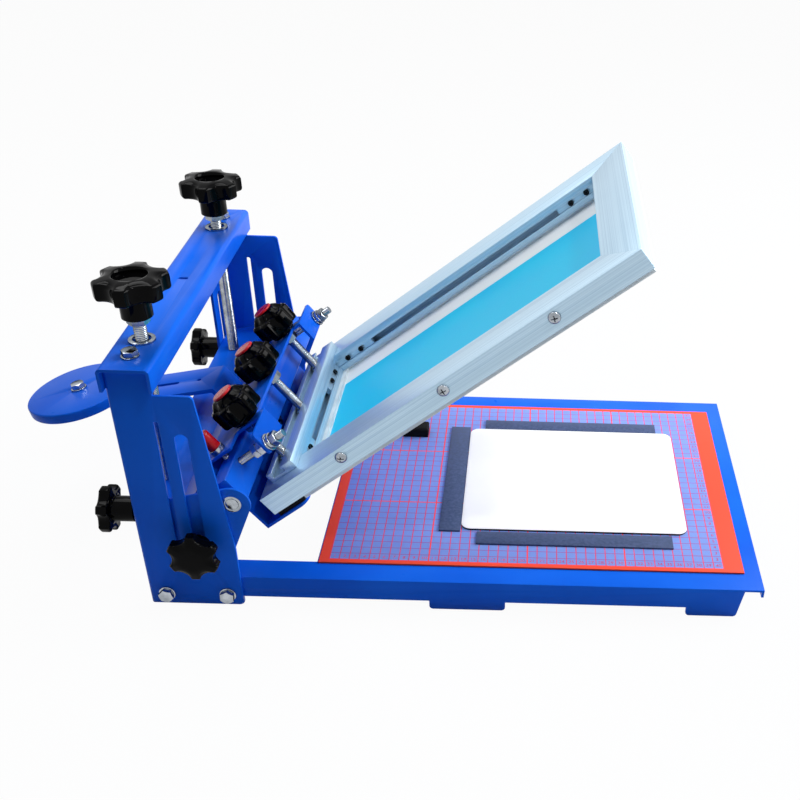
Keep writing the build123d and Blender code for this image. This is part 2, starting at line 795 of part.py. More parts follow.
def slide_lock_cap():
    low = channel_top + body_gap + lock_collar
    cap = Pos(lock_along, -lock_side, low) * Cylinder(lock_cap_radius, lock_cap_height, align=base_low)
    return on_head(chamfer(cap.faces().sort_by(Axis.Z)[-1].edges(), lock_cap_radius / 4))


# ---------------------------------------------------------------- counterweight
def arm_plane():
    """Runs from the bend along the arm's upper face: X towards the disc and Z out of the face."""
    lean = radians(arm_tilt)
    return Plane(origin=(channel_back, 0, arm_bend_height), x_dir=(-cos(lean), 0, sin(lean)),
                 z_dir=(sin(lean), 0, cos(lean)))


def counterweight_arm():
    """Flat bar bent down onto the back of the head channel."""
    half = arm_width / 2
    total = arm_length + arm_past_disc
    lean = radians(arm_tilt)
    setback = arm_thickness * tan((radians(90) - lean) / 2)
    tab = block(channel_back - arm_thickness, channel_back, -half, half, arm_tab_bottom, arm_bend_height)
    flat = arm_plane().location * block(0, total, -half, half, -arm_thickness, 0)
    above = arm_plane().location * block(-total, total, -half, half, 0, total)
    body = tab - above + (flat - block(channel_back, channel_back + total, -half, half, -total, total))
    ends = body.edges().filter_by(lambda edge: abs(edge.length - arm_thickness) < 0.01
                                  and edge.center().X < -arm_length / 2)
    body = fillet(ends, arm_width / 5)
    bend = body.edges().filter_by(Axis.Y).filter_by(
        lambda edge: abs(edge.center().X - channel_back) < 0.1 and abs(edge.center().Z - arm_bend_height) < 0.1)
    body = fillet(bend, setback)
    slot_middle_x = (arm_slot_start + arm_slot_end) / 2
    slot = Pos(slot_middle_x, 0, -arm_thickness) * SlotOverall(arm_slot_end - arm_slot_start, arm_slot_width)
    cuts = extrude(slot, amount=arm_thickness)
    cuts += round_bar((arm_hole_at, 0, -arm_thickness), (arm_hole_at, 0, 0), arm_slot_width / 2)
    cuts += round_bar((arm_length, 0, -arm_thickness), (arm_length, 0, 0), m8_radius + bolt_hole_play)
    body -= arm_plane().location * cuts
    for y in (-arm_bolt_side, arm_bolt_side):
        body -= round_bar((channel_back - arm_thickness, y, arm_bolt_height), (channel_back, y, arm_bolt_height),
                          m8_radius + bolt_hole_play)
    return on_head(body)


def counterweight_disc():
    disc = Pos(arm_length, 0, 0) * Cylinder(disc_radius, disc_thickness, align=base_low)
    disc = chamfer(disc.edges(), disc_edge)
    disc -= round_bar((arm_length, 0, 0), (arm_length, 0, disc_thickness), m8_radius + bolt_hole_play)
    return on_head(arm_plane().location * disc)


def arm_bolts():
    """The bolt through the disc and the two through the arm's tab, each with its nut."""
    x = arm_length
    seat = disc_thickness + m8_washer_height
    under = -arm_thickness
    end = under - m8_nut_height - bolt_past_nut
    disc_set = [
        hexagon((x, 0, seat), (x, 0, seat + m8_head_height), m8_head)
        + round_bar((x, 0, end), (x, 0, seat), m8_radius),
        ring((x, 0, disc_thickness), (x, 0, seat), m8_washer_radius, m8_radius + bolt_hole_play),
        nut((x, 0, under - m8_nut_height), (x, 0, under), m8_head, m8_radius + thread_play),
    ]
    pieces = [arm_plane().location * piece for piece in disc_set]
    face = channel_back - arm_thickness
    inner = channel_back + plate
    z = arm_bolt_height
    for y in (-arm_bolt_side, arm_bolt_side):
        head = hexagon((face - m8_head_height, y, z), (face, y, z), m8_head)
        pieces.append(head + round_bar((face, y, z), (inner + m8_jam_height + bolt_past_nut, y, z), m8_radius))
        pieces.append(nut((inner, y, z), (inner + m8_jam_height, y, z), m8_head, m8_radius + thread_play))
    return on_head(pieces)


# ---------------------------------------------------------------- screen frame
def rail_section():
    """Hollow section, outer face at zero, with a slot open on its inner face."""
    outline = Pos(rail_width / 2, -rail_height / 2) * Rectangle(rail_width, rail_height)
    cavity_back = rail_width - rail_wall - slot_cavity_depth
    chamber_width = cavity_back - 2 * rail_wall
    chamber = Pos(rail_wall + chamber_width / 2, -rail_height / 2) * Rectangle(
        chamber_width, rail_height - 2 * rail_wall)
    cavity = Pos(cavity_back + slot_cavity_depth / 2, slot_middle) * Rectangle(
        slot_cavity_depth, slot_cavity_height)
    mouth = Pos(rail_width - rail_wall / 2, slot_middle) * Rectangle(rail_wall, slot_opening)
    return outline - chamber - cavity - mouth


def rail(length):
    """A rail along X with its outer face on Y = 0 and both ends mitred."""
    section = Plane(origin=(0, 0, 0), x_dir=(0, 1, 0), z_dir=(1, 0, 0)) * rail_section()
    body = extrude(section, amount=length)
    mitre = Polygon((0, 0), (length, 0), (length - rail_width, rail_width), (rail_width, rail_width), align=None)
    return body & extrude(Pos(0, 0, -rail_height) * mitre, amount=rail_height)


def long_rail():
    """The near rail, with the holes of the screws in its outer face."""
    body = Pos(0, -half_screen, 0) * rail(screen_length)
    for x in rail_screw_places():
        body -= round_bar((x, -half_screen, -rail_screw_drop), (x, rail_wall - half_screen, -rail_screw_drop),
                          rail_screw_shank + thread_play)
    return body


def near_rail():
    return on_head(long_rail())


def far_rail():
    return on_head(mirror(long_rail(), about=Plane.XZ))


def base_rail():
    place = Plane(origin=(0, half_screen, 0), x_dir=(0, -1, 0), z_dir=(0, 0, 1))
    return on_head(place.location * rail(screen_width))


def end_rail():
    place = Plane(origin=(screen_length, -half_screen, 0), x_dir=(0, 1, 0), z_dir=(0, 0, 1))
    return on_head(place.location * rail(screen_width))


def at_corners(shape):
    """A piece drawn at the near clamped corner, repeated at all four corners of the frame."""
    middle = Plane(origin=(screen_length / 2, 0, 0), z_dir=(1, 0, 0))
    ends = [shape, mirror(shape, about=middle)]
    return ends + [mirror(each, about=Plane.XZ) for each in ends]


def corner_connectors():
    """L-shaped brackets in the rails' slots, behind the slot lips."""
    outer = rail_width - rail_wall - connector_thickness - body_gap
    inner = rail_width - rail_wall - body_gap
    reach = rail_width + connector_leg
    low = slot_middle - connector_height / 2
    high = slot_middle + connector_height / 2
    along = block(outer, reach, outer - half_screen, inner - half_screen, low, high)
    across = block(outer, inner, outer - half_screen, reach - half_screen, low, high)
    body = along + across
    for x, y, turned in corner_screw_places():
        body -= corner_screw(x, y, turned, thread_play)
    return on_head(at_corners(body))


def corner_screw_places():
    """Screw places at the near clamped corner, and whether each is in the base rail."""
    places = []
    for distance in (corner_screw_first, corner_screw_second):
        places.append((rail_width + distance, rail_width, False))
        places.append((rail_width, rail_width + distance, True))
    return places


def corner_screw(x, y, turned, play=0.0):
    depth = rail_wall + body_gap + connector_thickness
    radius = corner_screw_radius + play
    if turned:
        return round_bar((x - depth, y - half_screen, slot_middle), (x, y - half_screen, slot_middle), radius)
    return round_bar((x, y - depth - half_screen, slot_middle), (x, y - half_screen, slot_middle), radius)


def corner_screws():
    pieces = []
    for x, y, turned in corner_screw_places():
        pieces += at_corners(corner_screw(x, y, turned))
    return on_head(pieces)


def rail_screw_places():
    return [rail_screw_middle + step * rail_screw_spacing for step in (-1, 0, 1)]


def rail_screws():
    """Pan-head screws in the outer faces of the two long rails."""
    pieces = []
    for x in rail_screw_places():
        pan = Cone(rail_screw_radius, rail_screw_top, rail_screw_dome, align=base_low)
        face = Plane(origin=(x, -half_screen, -rail_screw_drop), z_dir=(0, -1, 0))
        shank = round_bar((x, -half_screen, -rail_screw_drop),
                          (x, rail_wall - half_screen, -rail_screw_drop), rail_screw_shank)
        pieces += both_sides(face.location * pan + shank)
    return on_head(pieces)


def mesh_frame():
    """White frame under the rails that the mesh is stretched on."""
    side = half_screen - mesh_frame_inset
    end = screen_length - mesh_frame_inset
    window_side = half_screen - rail_width + mesh_window_past
    low = -rail_height - mesh_frame_depth
    body = block(mesh_start, end, -side, side, low, -rail_height)
    window = block(mesh_start + mesh_start_width, screen_length - rail_width + mesh_window_past,
                   -window_side, window_side, low, -rail_height)
    return on_head(body - window)


def screen_mesh():
    side = half_screen - rail_width + mesh_window_past
    low = -rail_height - mesh_frame_depth + mesh_lift
    mesh = block(mesh_start + mesh_start_width, screen_length - rail_width + mesh_window_past, -side, side,
                 low, low + mesh_thickness)
    return on_head(mesh)


def stencil_film():
    low = -rail_height - mesh_frame_depth + mesh_lift + mesh_thickness
    return on_head(block(film_start, film_start + film_length, -film_width / 2, film_width / 2,
                         low, low + film_thickness))


# ---------------------------------------------------------------- screen clamp
def clamp_bar():
    """Slotted bar that presses on the clamped end of the screen frame."""
    half = clamp_bar_half
    end = clamp_bar_start + clamp_bar_width
    body = block(clamp_bar_start, end, -half, half, 0, clamp_bar_height)
    mouth = m10_radius + body_gap
    pocket = clamp_foot_radius + body_gap
    high = clamp_bar_height - clamp_bar_lip
    low = high - clamp_foot - 2 * body_gap
    body -= block(clamp_along - mouth, clamp_along + mouth, -half, half, high, clamp_bar_height)
    body -= block(clamp_along - pocket, clamp_along + pocket, -half, half, low, high)
    return on_head(body)


def clamp_screw(y):
    """Screw through the channel's top, with its foot in the clamp bar's slot."""
    foot_top = clamp_bar_height - clamp_bar_lip - body_gap
    foot_low = foot_top - clamp_foot
    hub = channel_top + screen_knob_gap
    rod = round_bar((clamp_along, y, foot_top), (clamp_along, y, hub + screen_hub_height), m10_radius)
    foot = round_bar((clamp_along, y, foot_low), (clamp_along, y, foot_top), clamp_foot_radius)
    return on_head(rod + foot)


def clamp_knob(y):
    knob = star_knob(screen_knob_radius, screen_head_height, screen_hub_radius, screen_hub_height,
                     screen_dome_height, cap_radius)
    knob -= Cylinder(m10_radius + thread_play, screen_hub_height + thread_play, align=base_low)
    return on_head(Pos(clamp_along, y, channel_top + screen_knob_gap) * knob)


def clamp_cap(y):
    low = channel_top + screen_knob_gap + screen_hub_height + screen_head_height + screen_dome_height
    cap = Pos(clamp_along, y, low) * Cylinder(cap_radius, cap_height, align=base_low)
    return on_head(chamfer(cap.faces().sort_by(Axis.Z)[-1].edges(), cap_edge))


# ---------------------------------------------------------------- all nodes
def far_of(shape):
    return mirror(shape, about=Plane.XZ)


def all_nodes():
    near_plate = near_upright()
    nodes = {
        "base_frame": base_frame(),
        "cutting_mat": cutting_mat(),
        "guide_strips": guide_strips(),
        "print_board": print_board(),
        "screen_rest_block": screen_rest_block(),
        "near_upright": near_plate,
        "far_upright": far_of(near_plate),
        "top_beam": top_beam(),
        "frame_bolts": frame_bolts(),
        "frame_washers": frame_washers(),
        "frame_nuts": frame_nuts(),
        "lift_washers": lift_washers(),
        "lift_nuts": lift_nuts(),
        "carriage_bracket": carriage_bracket(),
        "pivot_bushes": pivot_bushes(),
        "stud_nuts": stud_nuts(),
        "near_lift_screw": lift_screw(-1, near_lift_stand),
        "near_lift_knob": lift_knob(-1, near_lift_stand),
        "far_lift_screw": lift_screw(1, far_lift_stand),
        "far_lift_knob": lift_knob(1, far_lift_stand),
        "near_side_stud": side_stud(),
        "near_side_knob": side_knob(),
        "far_side_stud": far_of(side_stud()),
        "far_side_knob": far_of(side_knob()),
        "near_rear_stud": rear_stud(),
        "near_rear_knob": rear_knob(),
        "far_rear_stud": far_of(rear_stud()),
        "far_rear_knob": far_of(rear_knob()),
        "pivot_bar": pivot_bar(),
        "registration_rods": registration_rods(),
        "near_registration_nuts": registration_nuts(-1),
        "far_registration_nuts": registration_nuts(1),
        "head_channel": head_channel(),
        "clamp_screw_nuts": clamp_screw_nuts(),
        "frame_seat_pad": frame_seat_pad(),
        "slide_lock_screw": slide_lock_screw(),
        "slide_lock_cap": slide_lock_cap(),
        "counterweight_arm": counterweight_arm(),
        "counterweight_disc": counterweight_disc(),
        "arm_bolts": arm_bolts(),
        "near_rail": near_rail(),
        "far_rail": far_rail(),
        "base_rail": base_rail(),
        "end_rail": end_rail(),
        "corner_connectors": corner_connectors(),
        "corner_screws": corner_screws(),
        "rail_screws": rail_screws(),
        "mesh_frame": mesh_frame(),
        "screen_mesh": screen_mesh(),
        "stencil_film": stencil_film(),
        "clamp_bar": clamp_bar(),
    }
    for name, y in zip(("near", "middle", "far"), clamp_sides()):
        nodes[name + "_clamp_screw"] = clamp_screw(y)
        nodes[name + "_clamp_knob"] = clamp_knob(y)
        nodes[name + "_clamp_cap"] = clamp_cap(y)
    return nodes


os.makedirs("parts", exist_ok=True)
for name, shape in all_nodes().items():
    solids = shape if isinstance(shape, list) else [shape]
    kept = Compound(children=[solid for each in solids for solid in each.solids()])
    export_step(kept, "parts/" + name + ".step")
    print(name, len(kept.solids()), round(kept.volume))
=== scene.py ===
import json
import math

import bmesh
import bpy
from mathutils import Matrix, Vector

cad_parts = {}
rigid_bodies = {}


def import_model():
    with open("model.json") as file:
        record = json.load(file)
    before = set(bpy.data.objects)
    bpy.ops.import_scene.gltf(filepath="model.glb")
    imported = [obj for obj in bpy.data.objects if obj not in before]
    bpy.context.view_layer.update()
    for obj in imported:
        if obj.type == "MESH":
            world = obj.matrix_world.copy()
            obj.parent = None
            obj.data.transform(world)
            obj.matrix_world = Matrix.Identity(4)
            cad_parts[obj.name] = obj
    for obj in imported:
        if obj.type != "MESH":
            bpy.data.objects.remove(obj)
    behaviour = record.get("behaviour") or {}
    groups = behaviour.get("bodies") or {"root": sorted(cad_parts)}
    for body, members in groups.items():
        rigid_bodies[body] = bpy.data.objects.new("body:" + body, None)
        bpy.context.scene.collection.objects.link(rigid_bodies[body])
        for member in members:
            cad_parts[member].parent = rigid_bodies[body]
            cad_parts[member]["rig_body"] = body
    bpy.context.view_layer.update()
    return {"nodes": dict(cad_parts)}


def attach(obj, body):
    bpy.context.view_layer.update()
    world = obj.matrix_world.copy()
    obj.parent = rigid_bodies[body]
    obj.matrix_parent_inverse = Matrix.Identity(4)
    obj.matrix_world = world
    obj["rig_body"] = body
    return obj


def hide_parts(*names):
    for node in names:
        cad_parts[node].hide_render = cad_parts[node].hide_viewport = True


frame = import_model()
mm = 0.001
scene = bpy.context.scene
scene.view_settings.view_transform = "Standard"
print("stage: frame loaded")

press = {
    # real places and distances, in mm and degrees
    "rearX": -223.8,  # rear faces of the uprights
    "outerSide": 182.6,  # outer faces of the uprights, from the middle across
    "matTop": 37.0,
    "boardEdgeShadeTop": 1.8,  # top of the painted shade on the board's cut edges, up from the mat
    "beamTop": 271.0,
    "pivotX": -129.8,
    "pivotZ": 124.0,
    "pivotAlong": 0.5,  # pivot from the screen frame's corner, along the screen
    "pivotAbove": 26.5,  # and off it
    "pivotBarHalf": 172.5,  # middle of the pivot bar to the start of a journal
    "tilt": 38.0,  # from the bed to the screen
    "armStart": (-20.0, 0.0, 85.5),  # bend of the counterweight arm, on the head
    "armTilt": 26.7,  # arm to the screen
    "armLength": 152.0,  # bend to the middle of the disc
}
tilt = math.radians(press["tilt"])
headX = press["pivotX"] - press["pivotAlong"] * math.cos(tilt) + press["pivotAbove"] * math.sin(tilt)
headZ = press["pivotZ"] - press["pivotAlong"] * math.sin(tilt) - press["pivotAbove"] * math.cos(tilt)
headFrame = Matrix((
    (math.cos(tilt), 0, -math.sin(tilt), headX * mm),
    (0, 1, 0, 0),
    (math.sin(tilt), 0, math.cos(tilt), headZ * mm),
    (0, 0, 0, 1),
))  # along, across and off the screen
armFrame = headFrame @ Matrix.Translation(Vector(press["armStart"]) * mm)
armFrame = armFrame @ Matrix.Rotation(math.radians(press["armTilt"]), 4, "Y")
armFrame = armFrame @ Matrix.Rotation(math.pi, 4, "Z")  # towards the disc, across and off the arm
sides = (-1, 1)  # near and far


def facing(direction, origin):
    # a place at origin, in mm, whose third axis points in direction
    turn = Vector(direction).to_track_quat("Z", "Y").to_matrix().to_4x4()
    return Matrix.Translation(Vector(origin) * mm) @ turn


def onHead(along, across, off, direction=(0, 0, 1)):
    return headFrame @ facing(direction, (along, across, off))


def toLinear(hexColour):
    channels = [int(hexColour[i:i + 2], 16) / 255 for i in (1, 3, 5)]
    return tuple([c / 12.92 if c <= 0.04045 else ((c + 0.055) / 1.055) ** 2.4 for c in channels] + [1.0])


def addNode(tree, kind, inputs=None, items=0, **settings):
    # inputs are named or numbered, or a list in the sockets' order; a node stands for its first output
    node = tree.nodes.new(kind)
    for name, value in settings.items():
        setattr(node, name, value)
    for _ in range(items - 2):
        node.index_switch_items.new()
    given = inputs.items() if isinstance(inputs, dict) else enumerate(inputs or ())
    for name, value in given:
        if isinstance(value, bpy.types.Node):
            value = value.outputs[0]
        if isinstance(value, bpy.types.NodeSocket):
            tree.links.new(value, node.inputs[name])
        else:
            node.inputs[name].default_value = value
    return node


def startMaterial(name, values):
    material = bpy.data.materials.new(name)
    material.use_nodes = True
    tree = material.node_tree
    shader = tree.nodes["Principled BSDF"]
    for socket, value in values.items():
        shader.inputs[socket].default_value = value
    place = addNode(tree, "ShaderNodeTexCoord").outputs["Object"]
    return material, tree, shader, place


def scaleFor(size):
    # a pattern's scale from its real size in mm
    return 1 / (size * mm)


speckleSpan = (0.35, 0.65)  # noise values that give the darkest and the lightest colour


def speckledColour(tree, shader, place, size, dark, light):
    noise = addNode(tree, "ShaderNodeTexNoise", {
        "Vector": place, "Scale": scaleFor(size), "Detail": 4.0})
    low, high = speckleSpan
    spread = addNode(tree, "ShaderNodeMapRange", {"Value": noise, "From Min": low, "From Max": high})
    colours = {"Factor": spread, 6: toLinear(dark), 7: toLinear(light)}
    mix = addNode(tree, "ShaderNodeMix", colours, data_type="RGBA")
    tree.links.new(mix.outputs[2], shader.inputs["Base Color"])
    return spread


def roughBy(tree, shader, value, low, high):
    spread = addNode(tree, "ShaderNodeMapRange", {"Value": value, "To Min": low, "To Max": high})
    tree.links.new(spread.outputs["Result"], shader.inputs["Roughness"])


def bumpBy(tree, shader, height, strength, depth):
    # depth in mm
    inputs = {"Height": height, "Strength": strength, "Distance": depth * mm}
    bump = addNode(tree, "ShaderNodeBump", inputs)
    tree.links.new(bump.outputs["Normal"], shader.inputs["Normal"])


enamel = {
    "dark": "#0a59d6",
    "light": "#1165e2",
    "cloud": 111.1,  # sizes in mm
    "wear": 25.0,
    "peel": 1.6,  # ripples of the sprayed coat
    "roughness": (0.24, 0.36),
    "bump": (0.12, 0.2),  # strength, and depth in mm
    "shine": 0.06,
}


def makeSprayedEnamel():
    # stoved enamel, sprayed: saturated cobalt blue with a soft gloss and a faint orange peel
    shine = {"Specular IOR Level": enamel["shine"]}
    material, tree, shader, place = startMaterial("sprayedBlueEnamel", shine)
    speckledColour(tree, shader, place, enamel["cloud"], enamel["dark"], enamel["light"])
    peel = addNode(tree, "ShaderNodeTexNoise", {
        "Vector": place, "Scale": scaleFor(enamel["peel"]), "Detail": 2.0})
    wear = addNode(tree, "ShaderNodeTexNoise", {
        "Vector": place, "Scale": scaleFor(enamel["wear"]), "Detail": 6.0})
    roughBy(tree, shader, wear, *enamel["roughness"])
    bumpBy(tree, shader, peel, *enamel["bump"])
    return material


zinc = {
    "dark": "#8f959c",
    "light": "#b7bdc4",
    "cloud": 11.11,  # mm
    "edgeTint": "#6a7078",  # reflection at a glancing angle
    "roughness": (0.16, 0.22),
}


def makeZincSteel():
    # bright zinc plate on turned steel: pale grey metal with a cloudy shine
    metal = {"Metallic": 1.0, "Specular Tint": toLinear(zinc["edgeTint"])}
    material, tree, shader, place = startMaterial("brightZincPlate", metal)
    spread = speckledColour(tree, shader, place, zinc["cloud"], zinc["dark"], zinc["light"])
    roughBy(tree, shader, spread, *zinc["roughness"])
    return material


extrusion = {
    "dark": "#a9c8de",
    "light": "#cde6f6",
    "linePitch": 0.9,  # mm between die lines, drawn coarser than the real ones so that they show
    "lineLength": 900.0,
    "cloud": 40.0,
    "cloudShare": 0.08,
    "span": (0.3, 0.7),  # noise values that give the darkest and the lightest colour
    "metal": 0.65,
    "roughness": (0.3, 0.46),
    "bump": (0.25, 0.2),  # strength, and depth in mm
}


def makeExtrudedAluminium(name, turn):
    # mill-finish aluminium, extruded: soft metal shine with fine die lines along its length
    material, tree, shader, place = startMaterial(name, {"Metallic": extrusion["metal"]})
    across = scaleFor(extrusion["linePitch"])
    along = scaleFor(extrusion["lineLength"])
    turned = addNode(tree, "ShaderNodeMapping", {"Vector": place, "Rotation": turn})
    stretched = addNode(tree, "ShaderNodeMapping", {"Vector": turned, "Scale": (along, across, across)})
    lines = addNode(tree, "ShaderNodeTexNoise", {"Vector": stretched, "Scale": 1.0, "Detail": 3.0})
    clouds = addNode(tree, "ShaderNodeTexNoise", {
        "Vector": place, "Scale": scaleFor(extrusion["cloud"]), "Detail": 4.0})
    both = addNode(tree, "ShaderNodeMix", {"Factor": extrusion["cloudShare"], 2: lines, 3: clouds})
    low, high = extrusion["span"]
    spread = addNode(tree, "ShaderNodeMapRange", {"Value": both, "From Min": low, "From Max": high})
    dark, light = toLinear(extrusion["dark"]), toLinear(extrusion["light"])
    mix = addNode(tree, "ShaderNodeMix", {"Factor": spread, 6: dark, 7: light}, data_type="RGBA")
    tree.links.new(mix.outputs[2], shader.inputs["Base Color"])
    roughBy(tree, shader, lines, *extrusion["roughness"])
    bumpBy(tree, shader, lines, *extrusion["bump"])
    return material


phenolic = {
    "dark": "#020203",
    "light": "#050506",
    "cloud": 16.67,  # sizes in mm
    "ripple": 2.857,
    "roughness": (0.04, 0.07),
    "bump": (0.03, 0.2),  # strength, and depth in mm
    "shine": 0.05,
}


def makePhenolic():
    # phenolic resin, compression moulded: near black with small hard highlights
    shine = {"Specular IOR Level": phenolic["shine"]}
    material, tree, shader, place = startMaterial("mouldedBlackPhenolic", shine)
    spread = speckledColour(tree, shader, place, phenolic["cloud"], phenolic["dark"], phenolic["light"])
    roughBy(tree, shader, spread, *phenolic["roughness"])
    ripple = addNode(tree, "ShaderNodeTexNoise", {
        "Vector": place, "Scale": scaleFor(phenolic["ripple"]), "Detail": 2.0})
    bumpBy(tree, shader, ripple, *phenolic["bump"])
    return material


matPrint = {
    "start": (-50.0, -150.0),  # grid's corner on the mat, mm
    "cells": (40, 30),
    "cell": 10.0,
    "rowLine": 0.9,  # line widths in mm
    "columnLine": 1.1,
    "thickLine": 1.5,
    "thickEvery": 10,  # cells
    "margin": 0.6,  # print past the outer lines' middles
    "ground": "#829de2",
    "groundDark": "#6f8bd6",
    "rowInk": "#9b55a6",
    "columnInk": "#dc4f74",
    "thickInk": "#ff4b55",
    "border": "#ff5038",
    "cloud": 33.33,  # sizes in mm
    "grain": 0.7143,
    "roughness": (0.42, 0.6),
    "bump": (0.15, 0.2),  # strength, and depth in mm
    "shine": 0.15,
    "numberSize": 6.0,  # mm
    "numberRise": 0.02,
    "numberWeld": 0.0001,
}


def lineMask(tree, value, pitch, width):
    # one where value, in metres, lies within half a width of a multiple of pitch
    offset = addNode(tree, "ShaderNodeMath", [value, pitch * mm / 2], operation="ADD")
    wrapped = addNode(tree, "ShaderNodeMath", [offset, pitch * mm], operation="FLOORED_MODULO")
    centred = addNode(tree, "ShaderNodeMath", [wrapped, pitch * mm / 2], operation="SUBTRACT")
    away = addNode(tree, "ShaderNodeMath", [centred], operation="ABSOLUTE")
    return addNode(tree, "ShaderNodeMath", [away, width * mm / 2], operation="LESS_THAN")


def insideMask(tree, value, length):
    margin = matPrint["margin"] * mm
    above = addNode(tree, "ShaderNodeMath", [value, -margin], operation="GREATER_THAN")
    below = addNode(tree, "ShaderNodeMath", [value, length * mm + margin], operation="LESS_THAN")
    return addNode(tree, "ShaderNodeMath", [above, below], operation="MULTIPLY")


def makePrintedVinyl():
    # calendered vinyl, screen printed: matt lavender cells, pink and violet lines, and an orange border
    shine = {"Specular IOR Level": matPrint["shine"]}
    material, tree, shader, place = startMaterial("printedVinylMat", shine)
    cell, (startX, startY), (columns, rows) = matPrint["cell"], matPrint["start"], matPrint["cells"]
    wide = cell * matPrint["thickEvery"]
    apart = addNode(tree, "ShaderNodeSeparateXYZ", {"Vector": place})
    x = addNode(tree, "ShaderNodeMath", [apart.outputs["X"], startX * mm], operation="SUBTRACT")
    y = addNode(tree, "ShaderNodeMath", [apart.outputs["Y"], startY * mm], operation="SUBTRACT")
    clouds = addNode(tree, "ShaderNodeTexNoise", {
        "Vector": place, "Scale": scaleFor(matPrint["cloud"]), "Detail": 4.0})
    layers = (
        (clouds, "groundDark"),
        (lineMask(tree, y, cell, matPrint["rowLine"]), "rowInk"),
        (lineMask(tree, x, cell, matPrint["columnLine"]), "columnInk"),
        (lineMask(tree, x, wide, matPrint["thickLine"]), "thickInk"),
        (lineMask(tree, y, wide, matPrint["thickLine"]), "thickInk"),
    )
    colour = toLinear(matPrint["ground"])
    for mask, ink in layers:
        colours = {"Factor": mask, 6: colour, 7: toLinear(matPrint[ink])}
        colour = addNode(tree, "ShaderNodeMix", colours, data_type="RGBA").outputs[2]
    insideX = insideMask(tree, x, cell * columns)
    insideY = insideMask(tree, y, cell * rows)
    inside = addNode(tree, "ShaderNodeMath", [insideX, insideY], operation="MULTIPLY")
    colours = {"Factor": inside, 6: toLinear(matPrint["border"]), 7: colour}
    printed = addNode(tree, "ShaderNodeMix", colours, data_type="RGBA")
    tree.links.new(printed.outputs[2], shader.inputs["Base Color"])
    grain = addNode(tree, "ShaderNodeTexNoise", {
        "Vector": place, "Scale": scaleFor(matPrint["grain"]), "Detail": 3.0})
    roughBy(tree, shader, grain, *matPrint["roughness"])
    bumpBy(tree, shader, grain, *matPrint["bump"])
    return material


weave = {
    "pitch": 0.8,  # mm between threads, drawn far coarser than the real 0.13 so that it shows
    "cloud": 71.43,  # mm
    "threadShare": 0.4,  # of the colour; the clouds give the rest
    "depth": 0.1,  # of the bump, mm
    "shine": 0.2,
    "white": {"dark": "#e6f0f6", "light": "#fafdff", "roughness": (0.4, 0.55), "bump": 0.3},
    "stencil": {"dark": "#00c0ff", "light": "#18dcff", "roughness": (0.3, 0.42), "bump": 0.2},
}


def makeWovenMesh(name, kind):
    # polyester monofilament, woven and stretched: fine square threads with a silky sheen
    look = weave[kind]
    material, tree, shader, place = startMaterial(name, {"Specular IOR Level": weave["shine"]})
    turned = addNode(tree, "ShaderNodeMapping", {"Vector": place, "Rotation": (0, tilt, 0)})
    scale = math.pi * scaleFor(weave["pitch"])
    apart = addNode(tree, "ShaderNodeSeparateXYZ", {"Vector": turned})
    waves = []
    for axis in ("X", "Y"):
        phase = addNode(tree, "ShaderNodeMath", [apart.outputs[axis], scale], operation="MULTIPLY")
        wave = addNode(tree, "ShaderNodeMath", [phase], operation="SINE")
        waves.append(addNode(tree, "ShaderNodeMath", [wave], operation="ABSOLUTE"))
    height = addNode(tree, "ShaderNodeMath", waves, operation="MAXIMUM")
    clouds = addNode(tree, "ShaderNodeTexNoise", {
        "Vector": place, "Scale": scaleFor(weave["cloud"]), "Detail": 3.0})
    both = addNode(tree, "ShaderNodeMix", {"Factor": weave["threadShare"], 2: clouds, 3: height})
    colours = {"Factor": both, 6: toLinear(look["dark"]), 7: toLinear(look["light"])}
    mix = addNode(tree, "ShaderNodeMix", colours, data_type="RGBA")
    tree.links.new(mix.outputs[2], shader.inputs["Base Color"])
    roughBy(tree, shader, clouds, *look["roughness"])
    bumpBy(tree, shader, height, look["bump"], weave["depth"])
    return material


finishes = {
    # two colours, size of the flecks in mm, roughness, bump's strength and depth in mm, shader's sockets
    # nylon cap, injection moulded: clear red with a soft gloss
    "mouldedRedNylon": {
        "colours": ("#b80c18", "#d2141f"), "fleck": 8.333, "roughness": (0.22, 0.32),
        "shader": {"Specular IOR Level": 0.25},
    },
    # grey board, die cut and laminated: matt slate with a faint fleck
    "laminatedSlateBoard": {
        "colours": ("#374768", "#47557a"), "fleck": 3.333, "roughness": (0.42, 0.56), "bump": (0.1, 0.1),
        "shader": {"Specular IOR Level": 0.2},
    },
    # coated card, die cut: smooth bright white with the least gloss
    "coatedWhiteBoard": {
        "colours": ("#fafafb", "#fefefe"), "fleck": 50.0, "roughness": (0.4, 0.5),
        "shader": {"IOR": 1.5},
    },
    # natural rubber, moulded: dull black with a fine skin
    "mouldedBlackRubber": {
        "colours": ("#060608", "#0e0f12"), "fleck": 4.545, "roughness": (0.55, 0.75), "bump": (0.2, 0.2),
        "shader": {"Specular IOR Level": 0.1},
    },
    # steel screws, blackened in hot oxide: dark with a dull metal shine
    "blackOxideSteel": {
        "colours": ("#141518", "#25272b"), "fleck": 2.0, "roughness": (0.3, 0.45),
        "shader": {"Metallic": 0.7},
    },
    # rigid PVC strip, extruded: cool white with a satin skin
    "extrudedWhiteVinyl": {
        "colours": ("#d7e4ea", "#eef6f8"), "fleck": 22.22, "roughness": (0.35, 0.45),
        "shader": {"IOR": 1.53},
    },
    # solvent ink, screen printed on the mat: raspberry numerals, matt and a little uneven
    "printedNumberInk": {
        "colours": ("#c8284e", "#d84468"), "fleck": 2.5, "roughness": (0.5, 0.65),
        "shader": {"Specular IOR Level": 0.15},
    },
}


